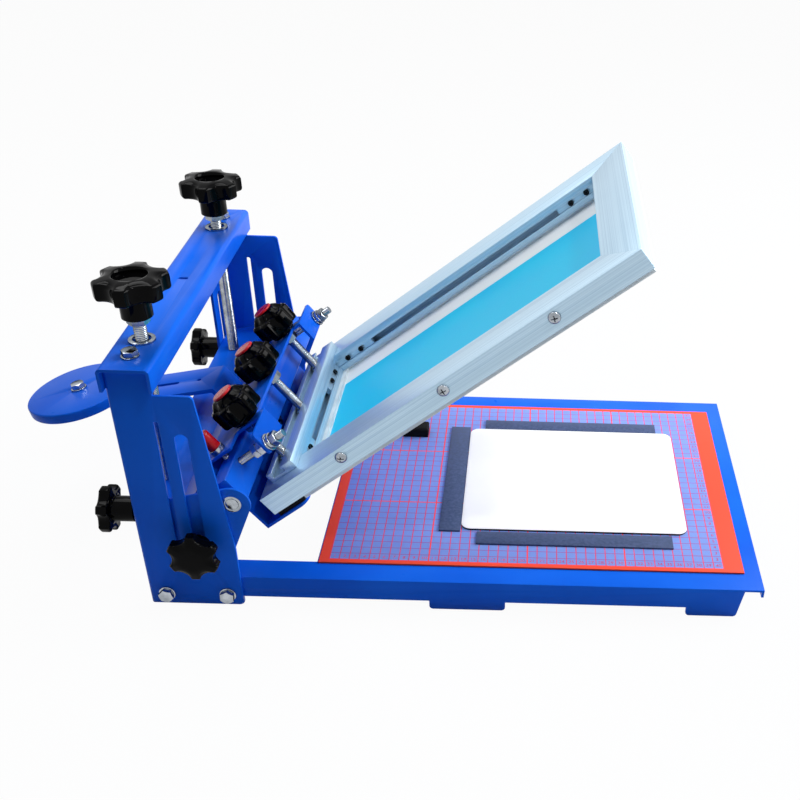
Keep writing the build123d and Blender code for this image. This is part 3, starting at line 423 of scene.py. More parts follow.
def makeFinish(name):
    finish = finishes[name]
    material, tree, shader, place = startMaterial(name, finish["shader"])
    spread = speckledColour(tree, shader, place, finish["fleck"], *finish["colours"])
    roughBy(tree, shader, spread, *finish["roughness"])
    if "bump" in finish:
        bumpBy(tree, shader, spread, *finish["bump"])
    return material


sprayedEnamel = makeSprayedEnamel()
zincSteel = makeZincSteel()
aluminiumAlong = makeExtrudedAluminium("extrudedAluminiumLong", (0, tilt, 0))
aluminiumAcross = makeExtrudedAluminium("extrudedAluminiumShort", (0, 0, math.pi / 2))
blackPhenolic = makePhenolic()
printedVinyl = makePrintedVinyl()
whiteMesh = makeWovenMesh("wovenPolyesterMesh", "white")
stencilFilm = makeWovenMesh("blueStencilEmulsion", "stencil")
redNylon = makeFinish("mouldedRedNylon")
slateBoard = makeFinish("laminatedSlateBoard")
whiteBoard = makeFinish("coatedWhiteBoard")
blackRubber = makeFinish("mouldedBlackRubber")
blackOxide = makeFinish("blackOxideSteel")
whiteStrip = makeFinish("extrudedWhiteVinyl")
numberInk = makeFinish("printedNumberInk")
print("stage: materials made")


def giveMaterial(node, material):
    shown = frame["nodes"][node]
    shown.data.materials.clear()
    shown.data.materials.append(material)


def addPiece(name, mesh, body, replaced=()):
    piece = bpy.data.objects.new(name, mesh)
    scene.collection.objects.link(piece)
    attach(piece, body)
    if replaced:
        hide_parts(*replaced)
    return piece


def smoothByAngle(mesh, degrees):
    for polygon in mesh.polygons:
        polygon.use_smooth = True
    mesh.set_sharp_from_angle(angle=math.radians(degrees))


def bodyOf(node):
    return frame["nodes"][node]["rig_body"]


def meshOf(carrier):
    # the mesh that the carrier's modifiers or its text give; the carrier is removed
    bpy.context.view_layer.update()
    evaluated = carrier.evaluated_get(bpy.context.evaluated_depsgraph_get())
    finished = bpy.data.meshes.new_from_object(evaluated)
    bpy.data.objects.remove(carrier)
    return finished


easing = {
    # mm and degrees
    "weld": 0.002,
    "flat": 1.0,  # faces that bend less are joined
    "corner": 38.0,  # edges that bend more are bevelled
    "smooth": 30.0,  # and those that bend less are shaded smooth
}


def dressedCopy(node, name, material, bevel, segments=2):
    # the CAD node's own shape, with its triangles merged and its edges eased
    work = bmesh.new()
    work.from_mesh(frame["nodes"][node].data)
    bmesh.ops.remove_doubles(work, verts=work.verts, dist=easing["weld"] * mm)
    flat = math.radians(easing["flat"])
    bmesh.ops.dissolve_limit(work, angle_limit=flat, verts=work.verts, edges=work.edges)
    merged = bpy.data.meshes.new(name + "Merged")
    work.to_mesh(merged)
    work.free()
    carrier = bpy.data.objects.new(name + "Carrier", merged)
    scene.collection.objects.link(carrier)
    ease = carrier.modifiers.new("ease", "BEVEL")
    ease.width = bevel * mm
    ease.segments = segments
    ease.limit_method = "ANGLE"
    ease.angle_limit = math.radians(easing["corner"])
    ease.use_clamp_overlap = True
    ease.harden_normals = False
    finished = meshOf(carrier)
    finished.name = name
    finished.materials.clear()
    finished.materials.append(material)
    smoothByAngle(finished, easing["smooth"])
    return addPiece(name, finished, bodyOf(node), [node])


sheetPieces = {
    # CAD node: finished piece and how far its edges are eased, in mm
    "base_frame": ("baseSheet", 0.7),
    "near_upright": ("nearUprightPlate", 0.6),
    "far_upright": ("farUprightPlate", 0.6),
    "top_beam": ("bridgeChannel", 0.5),
    "carriage_bracket": ("carriageSheet", 0.5),
    "pivot_bar": ("pivotBarSteel", 0.4),
    "head_channel": ("headSheet", 0.6),
    "counterweight_arm": ("armBar", 0.5),
    "counterweight_disc": ("weightDisc", 0.5),
}
for node, (name, bevel) in sheetPieces.items():
    piece = dressedCopy(node, name, sprayedEnamel, bevel)
    if node == "pivot_bar":
        piece.data.materials.append(zincSteel)  # the turned journals are left bare
        for polygon in piece.data.polygons:
            polygon.material_index = int(abs(polygon.center.y) > press["pivotBarHalf"] * mm)

railPieces = {
    "near_rail": ("nearRailExtrusion", aluminiumAlong),
    "far_rail": ("farRailExtrusion", aluminiumAlong),
    "base_rail": ("clampedRailExtrusion", aluminiumAcross),
    "end_rail": ("endRailExtrusion", aluminiumAcross),
    "clamp_bar": ("clampBarExtrusion", aluminiumAcross),
    "corner_connectors": ("cornerBrackets", aluminiumAlong),
}
railEdge = 0.35
for node, (name, material) in railPieces.items():
    dressedCopy(node, name, material, railEdge)

plainPieces = {
    "print_board": ("printingBoard", whiteBoard, "white_board", 0.6),
    "guide_strips": ("guideStrips", slateBoard, "strip_board", 0.3),
    "cutting_mat": ("gridMat", printedVinyl, "mat_vinyl", 0.3),
    "screen_rest_block": ("restBlock", blackRubber, "black_rubber", 0.8),
    "frame_seat_pad": ("seatPad", blackRubber, "black_rubber", 0.6),
    "pivot_bushes": ("pivotBushes", zincSteel, "zinc_steel", 0.4),
    "mesh_frame": ("meshStrip", whiteStrip, "mesh_frame_white", 0.4),
}
for node, (name, material, slotName, bevel) in plainPieces.items():
    piece = dressedCopy(node, name, material, bevel)
    if node == "print_board":
        piece.data.materials.append(blackRubber)  # painted shade: the board's cut edges below the shade line are painted black, as the shadow under the board's edge
        edgeShadeTop = (press["matTop"] + press["boardEdgeShadeTop"]) * mm
        for polygon in piece.data.polygons:
            polygon.material_index = int(polygon.center.z < edgeShadeTop)
giveMaterial("screen_mesh", whiteMesh)
giveMaterial("stencil_film", stencilFilm)
print("stage: sheet and rails dressed")


def addGridNumbers():
    # one plain numeral in every cell of the near row and of the column at the free end
    cell, (startX, startY), (columns, rows) = matPrint["cell"], matPrint["start"], matPrint["cells"]
    spots = [(i + 1, startX + cell * (i + 0.5), startY + cell * 0.5) for i in range(columns)]
    spots += [(i + 1, startX + cell * (columns - 0.5), startY + cell * (i + 0.5)) for i in range(1, rows)]
    work = bmesh.new()
    for number, x, y in spots:
        words = bpy.data.curves.new("gridNumber", "FONT")
        words.body = str(number)
        words.size = matPrint["numberSize"] * mm
        words.extrude = matPrint["numberRise"] * mm
        words.align_x = "CENTER"
        words.align_y = "CENTER"
        carrier = bpy.data.objects.new("gridNumber", words)
        scene.collection.objects.link(carrier)
        shape = meshOf(carrier)
        middle = Vector((x, y, press["matTop"] + matPrint["numberRise"]))
        shape.transform(Matrix.Translation(middle * mm))
        work.from_mesh(shape)
        bpy.data.meshes.remove(shape)
    bmesh.ops.remove_doubles(work, verts=work.verts, dist=matPrint["numberWeld"] * mm)
    bmesh.ops.recalc_face_normals(work, faces=work.faces)
    mesh = bpy.data.meshes.new("gridNumbers")
    work.to_mesh(mesh)
    work.free()
    mesh.materials.clear()
    mesh.materials.append(numberInk)
    addPiece("gridNumbers", mesh, bodyOf("cutting_mat"))


addGridNumbers()
print("stage: mat numbered")


knobKinds = {
    # radii, heights and depths in mm; the dome rises over the lobes to the cap
    "lift": {"radius": 33.0, "head": 19.0, "hub": 14.0, "hubHeight": 22.0, "recess": 16.0,
             "recessDepth": 5.5, "dome": 0.0},
    "side": {"radius": 25.0, "head": 14.0, "hub": 12.5, "hubHeight": 12.5, "recess": 0.0,
             "recessDepth": 0.0, "dome": 0.0},
    "rear": {"radius": 24.0, "head": 13.0, "hub": 12.5, "hubHeight": 21.0, "recess": 0.0,
             "recessDepth": 0.0, "dome": 0.0},
    "screen": {"radius": 24.0, "head": 22.0, "hub": 14.0, "hubHeight": 4.5, "recess": 0.0,
               "recessDepth": 0.0, "dome": 7.5},
}
lobes = {
    "count": 6,
    "steps": 20,  # points of the outline for each lobe
    "scallopRadius": 0.42,  # this and the next two are shares of the knob's radius
    "scallopDepth": 0.2,
    "past": 1.35,  # reach of the lobe where no scallop cuts it
    "blend": 9.0,  # power that rounds the tips of the lobes
    "edge": 4.0,  # largest rounding of the lobes' edges, mm
    "edgeShare": 0.2,  # of the lobes' height
    "rise": 2.0,  # from the edge to a crown without a dome, mm
    "crown": 11.0,  # radius that a crown without a recess closes on, mm
    "crownFade": 1.5,  # how fast the scallops run out on the crown
    "footShare": 0.92,  # of the hub's radius
    "footEdge": 0.8,  # mm
    # out from the hub and up from its top in mm, and the share of the scallops
    "fillet": ((0.0, -2.5, 0.0), (1.2, -0.6, 0.1), (4.0, 0.4, 0.35)),
    "recessEdge": 0.8,  # mm
    "recessTaper": 1.2,
    "edgeSteps": 6,
    "crownSteps": 8,
    "smooth": 50.0,  # degrees
}


def lobeRadius(angle, radius, share):
    # distance to a six-lobed outline along angle, with the scallops worn in by share
    step = 2 * math.pi / lobes["count"]
    phase = (angle + step / 2) % step - step / 2
    scallop = radius * lobes["scallopRadius"]
    depth = radius * lobes["scallopDepth"] * share
    centre = radius + scallop - depth
    reach = scallop ** 2 - (centre * math.sin(phase)) ** 2
    inner = centre * math.cos(phase) - math.sqrt(reach) if reach > 0 else radius * lobes["past"]
    power = lobes["blend"]
    return (radius ** -power + inner ** -power) ** (-1 / power)


def knobSection(size):
    # radius, height and share of the scallops at each ring, from the hub's foot to the crown
    radius, head, hub, low = size["radius"], size["head"], size["hub"], size["hubHeight"]
    top = low + head
    edge = min(lobes["edge"], head * lobes["edgeShare"])
    outer = radius - edge
    rings = [(0.0, 0.0, 0.0), (hub * lobes["footShare"], 0.0, 0.0), (hub, lobes["footEdge"], 0.0)]
    rings += [(hub + out, low + up, share) for out, up, share in lobes["fillet"]]
    steps = lobes["edgeSteps"]
    for turn in range(steps):
        angle = math.pi / 2 * turn / (steps - 1)
        rings.append((outer + edge * math.sin(angle), low + edge - edge * math.cos(angle), 1.0))
    foot = top if size["dome"] else top - lobes["rise"]
    peak = top + size["dome"]
    for turn in range(steps + 1):
        angle = math.pi / 2 * turn / steps
        rings.append((outer + edge * math.cos(angle), foot - edge + edge * math.sin(angle), 1.0))
    inner = size["recess"] or lobes["crown"]
    for step in range(1, lobes["crownSteps"] + 1):
        share = step / lobes["crownSteps"]
        height = foot + (peak - foot) * math.sin(share * math.pi / 2)
        fade = (1.0 - share) ** lobes["crownFade"]
        rings.append((outer + (inner - outer) * share, height, fade))
    if size["recess"]:
        edge = lobes["recessEdge"]
        rings.append((inner - edge, peak - edge, 0.0))
        rings.append((inner - lobes["recessTaper"], peak - size["recessDepth"], 0.0))
    rings.append((0.0, rings[-1][1], 0.0))
    return rings


def makeKnobMesh(name, kind, place):
    radius = knobKinds[kind]["radius"]
    count = lobes["count"] * lobes["steps"]
    work = bmesh.new()
    rings = []
    for reach, height, share in knobSection(knobKinds[kind]):
        ring = []
        for step in range(count if reach else 1):
            angle = 2 * math.pi * step / count
            out = reach * lobeRadius(angle, radius, share) / radius if share else reach
            corner = Vector((out * math.cos(angle), out * math.sin(angle), height)) * mm
            ring.append(work.verts.new(place @ corner))
        rings.append(ring)
    for lower, upper in zip(rings, rings[1:]):
        for step in range(count):
            after = (step + 1) % count
            if len(lower) == 1:
                work.faces.new((lower[0], upper[after], upper[step]))
            elif len(upper) == 1:
                work.faces.new((lower[step], lower[after], upper[0]))
            else:
                work.faces.new((lower[step], lower[after], upper[after], upper[step]))
    bmesh.ops.recalc_face_normals(work, faces=work.faces)
    mesh = bpy.data.meshes.new(name)
    work.to_mesh(mesh)
    work.free()
    mesh.materials.append(blackPhenolic)
    smoothByAngle(mesh, lobes["smooth"])
    return mesh


liftScrew = {
    # the two screws that raise the carriage; heights above the bench, in mm
    "x": press["rearX"] + 21.0,
    "side": 132.5,
    "nearHub": press["beamTop"] + 24.0,  # underside of each knob
    "farHub": press["beamTop"] + 17.0,
    "inKnob": 22.0,
    "shoulder": 120.3,
    "lockNut": 110.2,
    "tip": 108.2,
    "washerRadius": 12.0,
    "washer": 2.0,
    "washerBore": 8.5,
    "nutDrop": 13.0,  # bottom of the nut below the beam's top
}
carriageClamp = {
    # the four clamps that hold the carriage to the uprights, in mm; heights are above the bench
    "sideX": press["rearX"] + 58.5,
    "sideHeight": 80.0,
    "rearSide": 163.5,
    "rearHeight": 104.0,
    "gap": 0.3,  # upright's face to the collar
    "collar": 2.4,
    "collarRadius": 10.5,
    "inside": 16.6,  # rod end from the collar inwards
    "rodLength": 29.0,
    "sideNut": 14.3,  # upright's outer face to the start of the nut, inwards
    "rearNut": 6.3,
}
screenClamp = {
    # the three screws that press the clamp bar down; heights off the screen, in mm
    "along": 25.0,
    "spacing": 90.5,
    "knob": 59.0,
    "nut": 47.0,
    "rodStart": 7.3,
    "rodLength": 56.2,
    "foot": 3.7,
    "footHeight": 3.6,
    "footRadius": 7.5,
}


def liftPlace(side, height):
    return facing((0, 0, 1), (liftScrew["x"], side * liftScrew["side"], height))


def sideClampPlace(side, out):
    # out from the upright's outer face
    across = side * (press["outerSide"] + out)
    return facing((0, side, 0), (carriageClamp["sideX"], across, carriageClamp["sideHeight"]))


def rearClampPlace(side, out, way=-1):
    # out from the upright's rear face
    across = side * carriageClamp["rearSide"]
    return facing((way, 0, 0), (press["rearX"] - out, across, carriageClamp["rearHeight"]))


def screenClampPlace(row, off):
    return onHead(screenClamp["along"], row * screenClamp["spacing"], off)


knobOut = carriageClamp["gap"] + carriageClamp["collar"]
knobPlaces = {
    # CAD node: kind and place
    "near_lift_knob": ("lift", liftPlace(-1, liftScrew["nearHub"])),
    "far_lift_knob": ("lift", liftPlace(1, liftScrew["farHub"])),
    "near_side_knob": ("side", sideClampPlace(-1, knobOut)),
    "far_side_knob": ("side", sideClampPlace(1, knobOut)),
    "near_rear_knob": ("rear", rearClampPlace(-1, knobOut)),
    "far_rear_knob": ("rear", rearClampPlace(1, knobOut)),
    "near_clamp_knob": ("screen", screenClampPlace(-1, screenClamp["knob"])),
    "middle_clamp_knob": ("screen", screenClampPlace(0, screenClamp["knob"])),
    "far_clamp_knob": ("screen", screenClampPlace(1, screenClamp["knob"])),
}
for node, (kind, place) in knobPlaces.items():
    first, *rest = node.split("_")
    name = first + "".join(word.capitalize() for word in rest) + "Star"
    addPiece(name, makeKnobMesh(name, kind, place), bodyOf(node), [node])

redCaps = {
    "near_clamp_cap": "nearRedCap",
    "middle_clamp_cap": "middleRedCap",
    "far_clamp_cap": "farRedCap",
    "slide_lock_cap": "lockRedCap",
}
capEdge = 0.9
for node, name in redCaps.items():
    dressedCopy(node, name, redNylon, capEdge, segments=4)
print("stage: knobs made")

lathe = {
    "segments": 48,
    "chamferSlope": 0.577,  # drop for each mm that a corner stands out
    "weld": 0.00001,  # metres, in the trees
    "join": 0.001,  # mm, between the parts of a piece
    "smooth": 32.0,  # degrees
    "sectionRows": 6,  # corners of a solid fastener's section; a bore adds one
    "threadSegments": 24,
    "threadRows": 6,  # for each turn of the thread
    "domeSegments": 36,
    "domeRows": 9,
    "rodSegments": 30,
}
driver = {
    # shares of a small screw's radius and height
    "reach": 1.1,
    "blade": 0.2,
    "depth": 1.1,
    "key": 0.56,
}


def startTree(name, floats, switches=()):
    tree = bpy.data.node_groups.new(name, "GeometryNodeTree")
    tree.interface.new_socket("Points", in_out="INPUT", socket_type="NodeSocketGeometry")
    for label in floats:
        tree.interface.new_socket(label, in_out="INPUT", socket_type="NodeSocketFloat")
    for label in switches:
        tree.interface.new_socket(label, in_out="INPUT", socket_type="NodeSocketBool")
    tree.interface.new_socket("Seed", in_out="INPUT", socket_type="NodeSocketInt")
    tree.interface.new_socket("Material", in_out="INPUT", socket_type="NodeSocketMaterial")
    tree.interface.new_socket("Mesh", in_out="OUTPUT", socket_type="NodeSocketGeometry")
    return tree, tree.nodes.new("NodeGroupInput").outputs


def sweptSheet(tree, segments, rows):
    # a unit grid that the caller bends round: the sheet, its angle and its row number
    size = {"Size X": 1.0, "Size Y": 1.0, "Vertices X": segments + 1, "Vertices Y": rows}
    sheet = addNode(tree, "GeometryNodeMeshGrid", size)
    place = addNode(tree, "GeometryNodeInputPosition")
    apart = addNode(tree, "ShaderNodeSeparateXYZ", {"Vector": place})
    angle = addNode(tree, "ShaderNodeMath", [apart, 2 * math.pi, math.pi], operation="MULTIPLY_ADD")
    share = addNode(tree, "ShaderNodeMath", [apart.outputs["Y"], 0.5], operation="ADD")
    last = addNode(tree, "ShaderNodeMath", [rows, 1.0], operation="SUBTRACT")
    row = addNode(tree, "ShaderNodeMath", [share, last], operation="MULTIPLY")
    return sheet, angle, row


def bentRound(tree, sheet, angle, radius, height):
    parts = {"Z": height}
    for axis, operation in (("X", "COSINE"), ("Y", "SINE")):
        share = addNode(tree, "ShaderNodeMath", [angle], operation=operation)
        parts[axis] = addNode(tree, "ShaderNodeMath", [share, radius], operation="MULTIPLY")
    place = addNode(tree, "ShaderNodeCombineXYZ", parts)
    bent = addNode(tree, "GeometryNodeSetPosition", {"Geometry": sheet, "Position": place})
    return addNode(tree, "GeometryNodeMergeByDistance", {"Geometry": bent, "Distance": lathe["weld"]})


def putOnPoints(tree, given, shape):
    # each point carries the way its piece faces; its turn about that way is random but seeded
    way = addNode(tree, "GeometryNodeInputNamedAttribute", {"Name": "facing"}, data_type="FLOAT_VECTOR")
    stood = addNode(tree, "FunctionNodeAlignRotationToVector", {"Vector": way}, axis="Z")
    limits = {2: 0.0, 3: 2 * math.pi, "Seed": given["Seed"]}
    phase = addNode(tree, "FunctionNodeRandomValue", limits, data_type="FLOAT")
    about = {"Axis": (0, 0, 1), "Angle": phase.outputs[1]}
    spin = addNode(tree, "FunctionNodeAxisAngleToRotation", about)
    turned = addNode(tree, "FunctionNodeRotateRotation", {"Rotation": stood, "Rotate By": spin},
                     rotation_space="LOCAL")
    placed = addNode(tree, "GeometryNodeInstanceOnPoints",
                     {"Points": given["Points"], "Instance": shape, "Rotation": turned})
    real = addNode(tree, "GeometryNodeRealizeInstances", {"Geometry": placed})
    dressed = addNode(tree, "GeometryNodeSetMaterial", {"Geometry": real, "Material": given["Material"]})
    addNode(tree, "NodeGroupOutput", {"Mesh": dressed})
    return tree


def makeFastenerTree():
    # nuts, bolt heads, washers and collars: a chamfered section swept round, hexagonal or round
    tree, given = startTree("turnedFastener", ("Radius", "Height", "Bore", "Chamfer"), ("Hex",))
    bored = addNode(tree, "ShaderNodeMath", [given["Bore"], 0.0], operation="GREATER_THAN")
    rows = addNode(tree, "ShaderNodeMath", [bored, lathe["sectionRows"]], operation="ADD")
    sheet, angle, row = sweptSheet(tree, lathe["segments"], rows)
    side = addNode(tree, "ShaderNodeMath", [angle, math.pi / 3], operation="FLOORED_MODULO")
    lean = addNode(tree, "ShaderNodeMath", [side, math.pi / 6], operation="SUBTRACT")
    flat = addNode(tree, "ShaderNodeMath", [lean], operation="COSINE")
    corner = addNode(tree, "ShaderNodeMath", [given["Radius"], flat], operation="DIVIDE")
    choice = {"Switch": given["Hex"], "False": given["Radius"], "True": corner}
    outside = addNode(tree, "GeometryNodeSwitch", choice, input_type="FLOAT")
    eased = addNode(tree, "ShaderNodeMath", [given["Radius"], given["Chamfer"]], operation="SUBTRACT")
    cut = addNode(tree, "ShaderNodeMath", [outside, eased], operation="SUBTRACT")
    drop = addNode(tree, "ShaderNodeMath", [cut, lathe["chamferSlope"]], operation="MULTIPLY")
    rise = addNode(tree, "ShaderNodeMath", [given["Height"], drop], operation="SUBTRACT")
    turn = addNode(tree, "ShaderNodeMath", [row, 0.5], operation="ADD")
    # the section's corners, from the foot of the bore round; the seventh closes a bored piece
    bore, height = given["Bore"], given["Height"]
    radii = (bore, eased, outside, outside, eased, bore, bore)
    levels = (0.0, 0.0, drop, rise, height, height, 0.0)
    section = []
    for corners in (radii, levels):
        inputs = {"Index": turn}
        for number, corner in enumerate(corners):
            inputs[str(number)] = corner
        items = len(corners)
        section.append(addNode(tree, "GeometryNodeIndexSwitch", inputs, items, data_type="FLOAT"))
    return putOnPoints(tree, given, bentRound(tree, sheet, angle, *section))


def makeThreadTree():
    # threaded rod: a helical ridge swept round, with flat chamfered ends
    tree, given = startTree("threadedRod", ("Radius", "Length", "Pitch", "Depth"))
    turns = addNode(tree, "ShaderNodeMath", [given["Length"], given["Pitch"]], operation="DIVIDE")
    # four rows more: the two ends and their rims
    exact = addNode(tree, "ShaderNodeMath", [turns, lathe["threadRows"], 4.0], operation="MULTIPLY_ADD")
    rows = addNode(tree, "ShaderNodeMath", [exact], operation="FLOOR")
    sheet, angle, row = sweptSheet(tree, lathe["threadSegments"], rows)
    beforeLast = addNode(tree, "ShaderNodeMath", [rows, 2.0], operation="SUBTRACT")
    span = {"Value": row, "From Min": 1.0, "From Max": beforeLast, "To Max": given["Length"]}
    height = addNode(tree, "ShaderNodeMapRange", span)
    turned = addNode(tree, "ShaderNodeMath", [angle, 2 * math.pi], operation="DIVIDE")
    risen = addNode(tree, "ShaderNodeMath", [height, given["Pitch"]], operation="DIVIDE")
    phase = addNode(tree, "ShaderNodeMath", [risen, turned], operation="SUBTRACT")
    within = addNode(tree, "ShaderNodeMath", [phase], operation="FRACT")
    ridge = addNode(tree, "ShaderNodeMath", [within, 0.5], operation="SUBTRACT")
    away = addNode(tree, "ShaderNodeMath", [ridge], operation="ABSOLUTE")
    dip = addNode(tree, "ShaderNodeMath", [away, -2.0, 1.0], operation="MULTIPLY_ADD")
    depth = addNode(tree, "ShaderNodeMath", [dip, given["Depth"]], operation="MULTIPLY")
    cut = addNode(tree, "ShaderNodeMath", [given["Radius"], depth], operation="SUBTRACT")
    rest = addNode(tree, "ShaderNodeMath", [given["Length"], height], operation="SUBTRACT")
    end = addNode(tree, "ShaderNodeMath", [height, rest], operation="MINIMUM")
    root = addNode(tree, "ShaderNodeMath", [given["Radius"], given["Depth"]], operation="SUBTRACT")
    chamfer = addNode(tree, "ShaderNodeMath", [root, end], operation="ADD")
    wanted = addNode(tree, "ShaderNodeMath", [cut, chamfer], operation="MINIMUM")
    started = addNode(tree, "ShaderNodeMath", [row, 0.5], operation="GREATER_THAN")
    nearEnd = addNode(tree, "ShaderNodeMath", [beforeLast, 0.5], operation="ADD")
    unended = addNode(tree, "ShaderNodeMath", [row, nearEnd], operation="LESS_THAN")
    between = addNode(tree, "ShaderNodeMath", [started, unended], operation="MULTIPLY")
    radius = addNode(tree, "ShaderNodeMath", [wanted, between], operation="MULTIPLY")
    return putOnPoints(tree, given, bentRound(tree, sheet, angle, radius, height))


def makeRecessTree():
    # small screws with a driver recess: a domed pan head with a cross, or a set screw with a hexagon
    tree, given = startTree("recessedScrew", ("Radius", "Height"), ("Cross",))
    sheet, angle, row = sweptSheet(tree, lathe["domeSegments"], lathe["domeRows"])
    span = {"Value": row, "From Min": 1.0, "From Max": lathe["domeRows"] - 1.0, "To Max": math.pi / 2}
    rise = addNode(tree, "ShaderNodeMapRange", span)
    high = addNode(tree, "ShaderNodeMath", [rise], operation="SINE")
    wide = addNode(tree, "ShaderNodeMath", [rise], operation="COSINE")
    above = addNode(tree, "ShaderNodeMath", [row, 0.5], operation="GREATER_THAN")
    shown = addNode(tree, "ShaderNodeMath", [wide, above], operation="MULTIPLY")
    radius = addNode(tree, "ShaderNodeMath", [shown, given["Radius"]], operation="MULTIPLY")
    level = addNode(tree, "ShaderNodeMath", [high, given["Height"]], operation="MULTIPLY")
    dome = bentRound(tree, sheet, angle, radius, level)
    size = {"Vertices": lathe["rodSegments"], "Radius": given["Radius"], "Depth": given["Height"]}
    rod = addNode(tree, "GeometryNodeMeshCylinder", size)
    middle = addNode(tree, "ShaderNodeMath", [given["Height"], 0.5], operation="MULTIPLY")
    lifted = addNode(tree, "ShaderNodeCombineXYZ", {"Z": middle})
    rod = addNode(tree, "GeometryNodeTransform", {"Geometry": rod, "Translation": lifted})
    choice = {"Switch": given["Cross"], "False": rod, "True": dome}
    body = addNode(tree, "GeometryNodeSwitch", choice, input_type="GEOMETRY")
    arm = addNode(tree, "ShaderNodeMath", [given["Radius"], driver["reach"]], operation="MULTIPLY")
    blade = addNode(tree, "ShaderNodeMath", [given["Radius"], driver["blade"]], operation="MULTIPLY")
    deep = addNode(tree, "ShaderNodeMath", [given["Height"], driver["depth"]], operation="MULTIPLY")
    cross = addNode(tree, "GeometryNodeMeshBoolean", operation="UNION")
    for wideWay, longWay in ((arm, blade), (blade, arm)):
        size = addNode(tree, "ShaderNodeCombineXYZ", {"X": wideWay, "Y": longWay, "Z": deep})
        bar = addNode(tree, "GeometryNodeMeshCube", {"Size": size})
        tree.links.new(bar.outputs[0], cross.inputs["Mesh 2"])
    key = addNode(tree, "ShaderNodeMath", [given["Radius"], driver["key"]], operation="MULTIPLY")
    hexagon = addNode(tree, "GeometryNodeMeshCylinder", {"Vertices": 6, "Radius": key, "Depth": middle})
    choice = {"Switch": given["Cross"], "False": hexagon, "True": cross}
    cutter = addNode(tree, "GeometryNodeSwitch", choice, input_type="GEOMETRY")
    top = addNode(tree, "ShaderNodeCombineXYZ", {"Z": given["Height"]})
    raised = addNode(tree, "GeometryNodeTransform", {"Geometry": cutter, "Translation": top})
    shape = addNode(tree, "GeometryNodeMeshBoolean", {"Mesh 1": body}, operation="DIFFERENCE")
    tree.links.new(raised.outputs[0], shape.inputs["Mesh 2"])
    return putOnPoints(tree, given, shape)


fastenerTree = makeFastenerTree()
threadTree = makeThreadTree()
recessTree = makeRecessTree()


def bakeNodes(tree, places, values, material, seed):
    points = bpy.data.meshes.new("piecePoints")
    points.from_pydata([place.translation for place in places], [], [])
    ways = points.attributes.new("facing", "FLOAT_VECTOR", "POINT")
    for i, place in enumerate(places):
        ways.data[i].vector = place.to_3x3() @ Vector((0, 0, 1))
    carrier = bpy.data.objects.new("piecePoints", points)
    scene.collection.objects.link(carrier)
    maker = carrier.modifiers.new("maker", "NODES")
    maker.node_group = tree
    given = {"Seed": seed, "Material": material}
    for label, value in values.items():
        given[label] = value if isinstance(value, bool) else value * mm
    for item in tree.interface.items_tree:
        if item.in_out == "INPUT" and item.name in given:
            maker[item.identifier] = given[item.name]
    return meshOf(carrier)


# threads and nuts in mm, by nominal size
m8 = {"rod": 4.0, "pitch": 1.25, "flats": 13.0, "head": 5.3, "nut": 6.5, "jam": 4.0, "bore": 4.05}
m10 = {"rod": 5.0, "pitch": 1.5, "flats": 17.0, "nut": 8.0, "bore": 5.05}
m12 = {"rod": 6.0, "pitch": 1.75, "flats": 18.0, "nut": 10.0, "jam": 6.5, "bore": 6.05}
washer = {"radius": 8.0, "wide": 9.0, "bore": 4.25, "thick": 1.6, "spring": 7.4, "springThick": 2.2}
trim = {"nutChamfer": 0.4, "discChamfer": 0.3, "threadDepth": 0.25}  # the depth is a share of the pitch


def nut(places, size, kind="nut"):
    bore = 0.0 if kind == "head" else size["bore"]
    values = {"Radius": size["flats"] / 2, "Height": size[kind], "Bore": bore, "Hex": True}
    return fastenerTree, places, {**values, "Chamfer": trim["nutChamfer"]}


def disc(places, radius, height, bore=0.0):
    values = {"Radius": radius, "Height": height, "Bore": bore, "Hex": False}
    return fastenerTree, places, {**values, "Chamfer": trim["discChamfer"]}


def thread(places, size, length):
    values = {"Radius": size["rod"], "Length": length, "Pitch": size["pitch"]}
    return threadTree, places, {**values, "Depth": size["pitch"] * trim["threadDepth"]}


def further(places, distance):
    return [place @ Matrix.Translation(Vector((0, 0, distance * mm))) for place in places]


def boltThrough(places, gripped, below):
    # washer and hexagon head on the face at each place, and the nut and rod end on the far side
    return [
        disc(places, washer["radius"], washer["thick"], washer["bore"]),
        nut(further(places, washer["thick"]), m8, "head"),
        thread(further(places, -below), m8, below + washer["thick"]),
        nut(further(places, -gripped - m8["nut"]), m8),
    ]


frameBolts = {
    # distances from the rear of the uprights or the middle across, in mm
    "foot": (17.5, 77.5),
    "footHeight": 15.0,
    "footThrough": (5.5, 13.0),  # from the bolt's face to the nut, and to the rod's end
    "beam": 20.0,
    "beamSide": 163.0,
    "beamThrough": (6.0, 13.5),
}
registration = {
    # nuts on the two ears of the head; places on the head, in mm
    "side": 131.5,
    "off": 40.0,
    "outer": 47.3,
    "inner": 43.7,
    "rodStart": -9.5,
    "rodLength": 76.5,
}
armBolts = {
    # two bolts through the arm's tab, on the head, and the one through the disc, on the arm
    "side": 14.0,
    "off": 6.0,
    "head": -24.5,
    "nut": -17.0,
    "rodLength": 12.5,
    "discOff": 11.0,  # the bolt's face
    "discThrough": (15.5, 23.0),
}
slideLock = {
    # places on the head, in mm
    "along": -4.0,
    "across": -123.0,
    "rod": 48.3,
    "rodLength": 15.0,
    "collar": 58.3,
    "collarRadius": 7.5,
    "collarHeight": 5.0,
}
railScrews = {
    # pan heads on the outer sides of the long rails; places on the head, in mm
    "along": (98.5, 224.0, 349.5),
    "side": 143.35,
    "off": -9.0,
    "radius": 6.0,
    "height": 3.0,
}


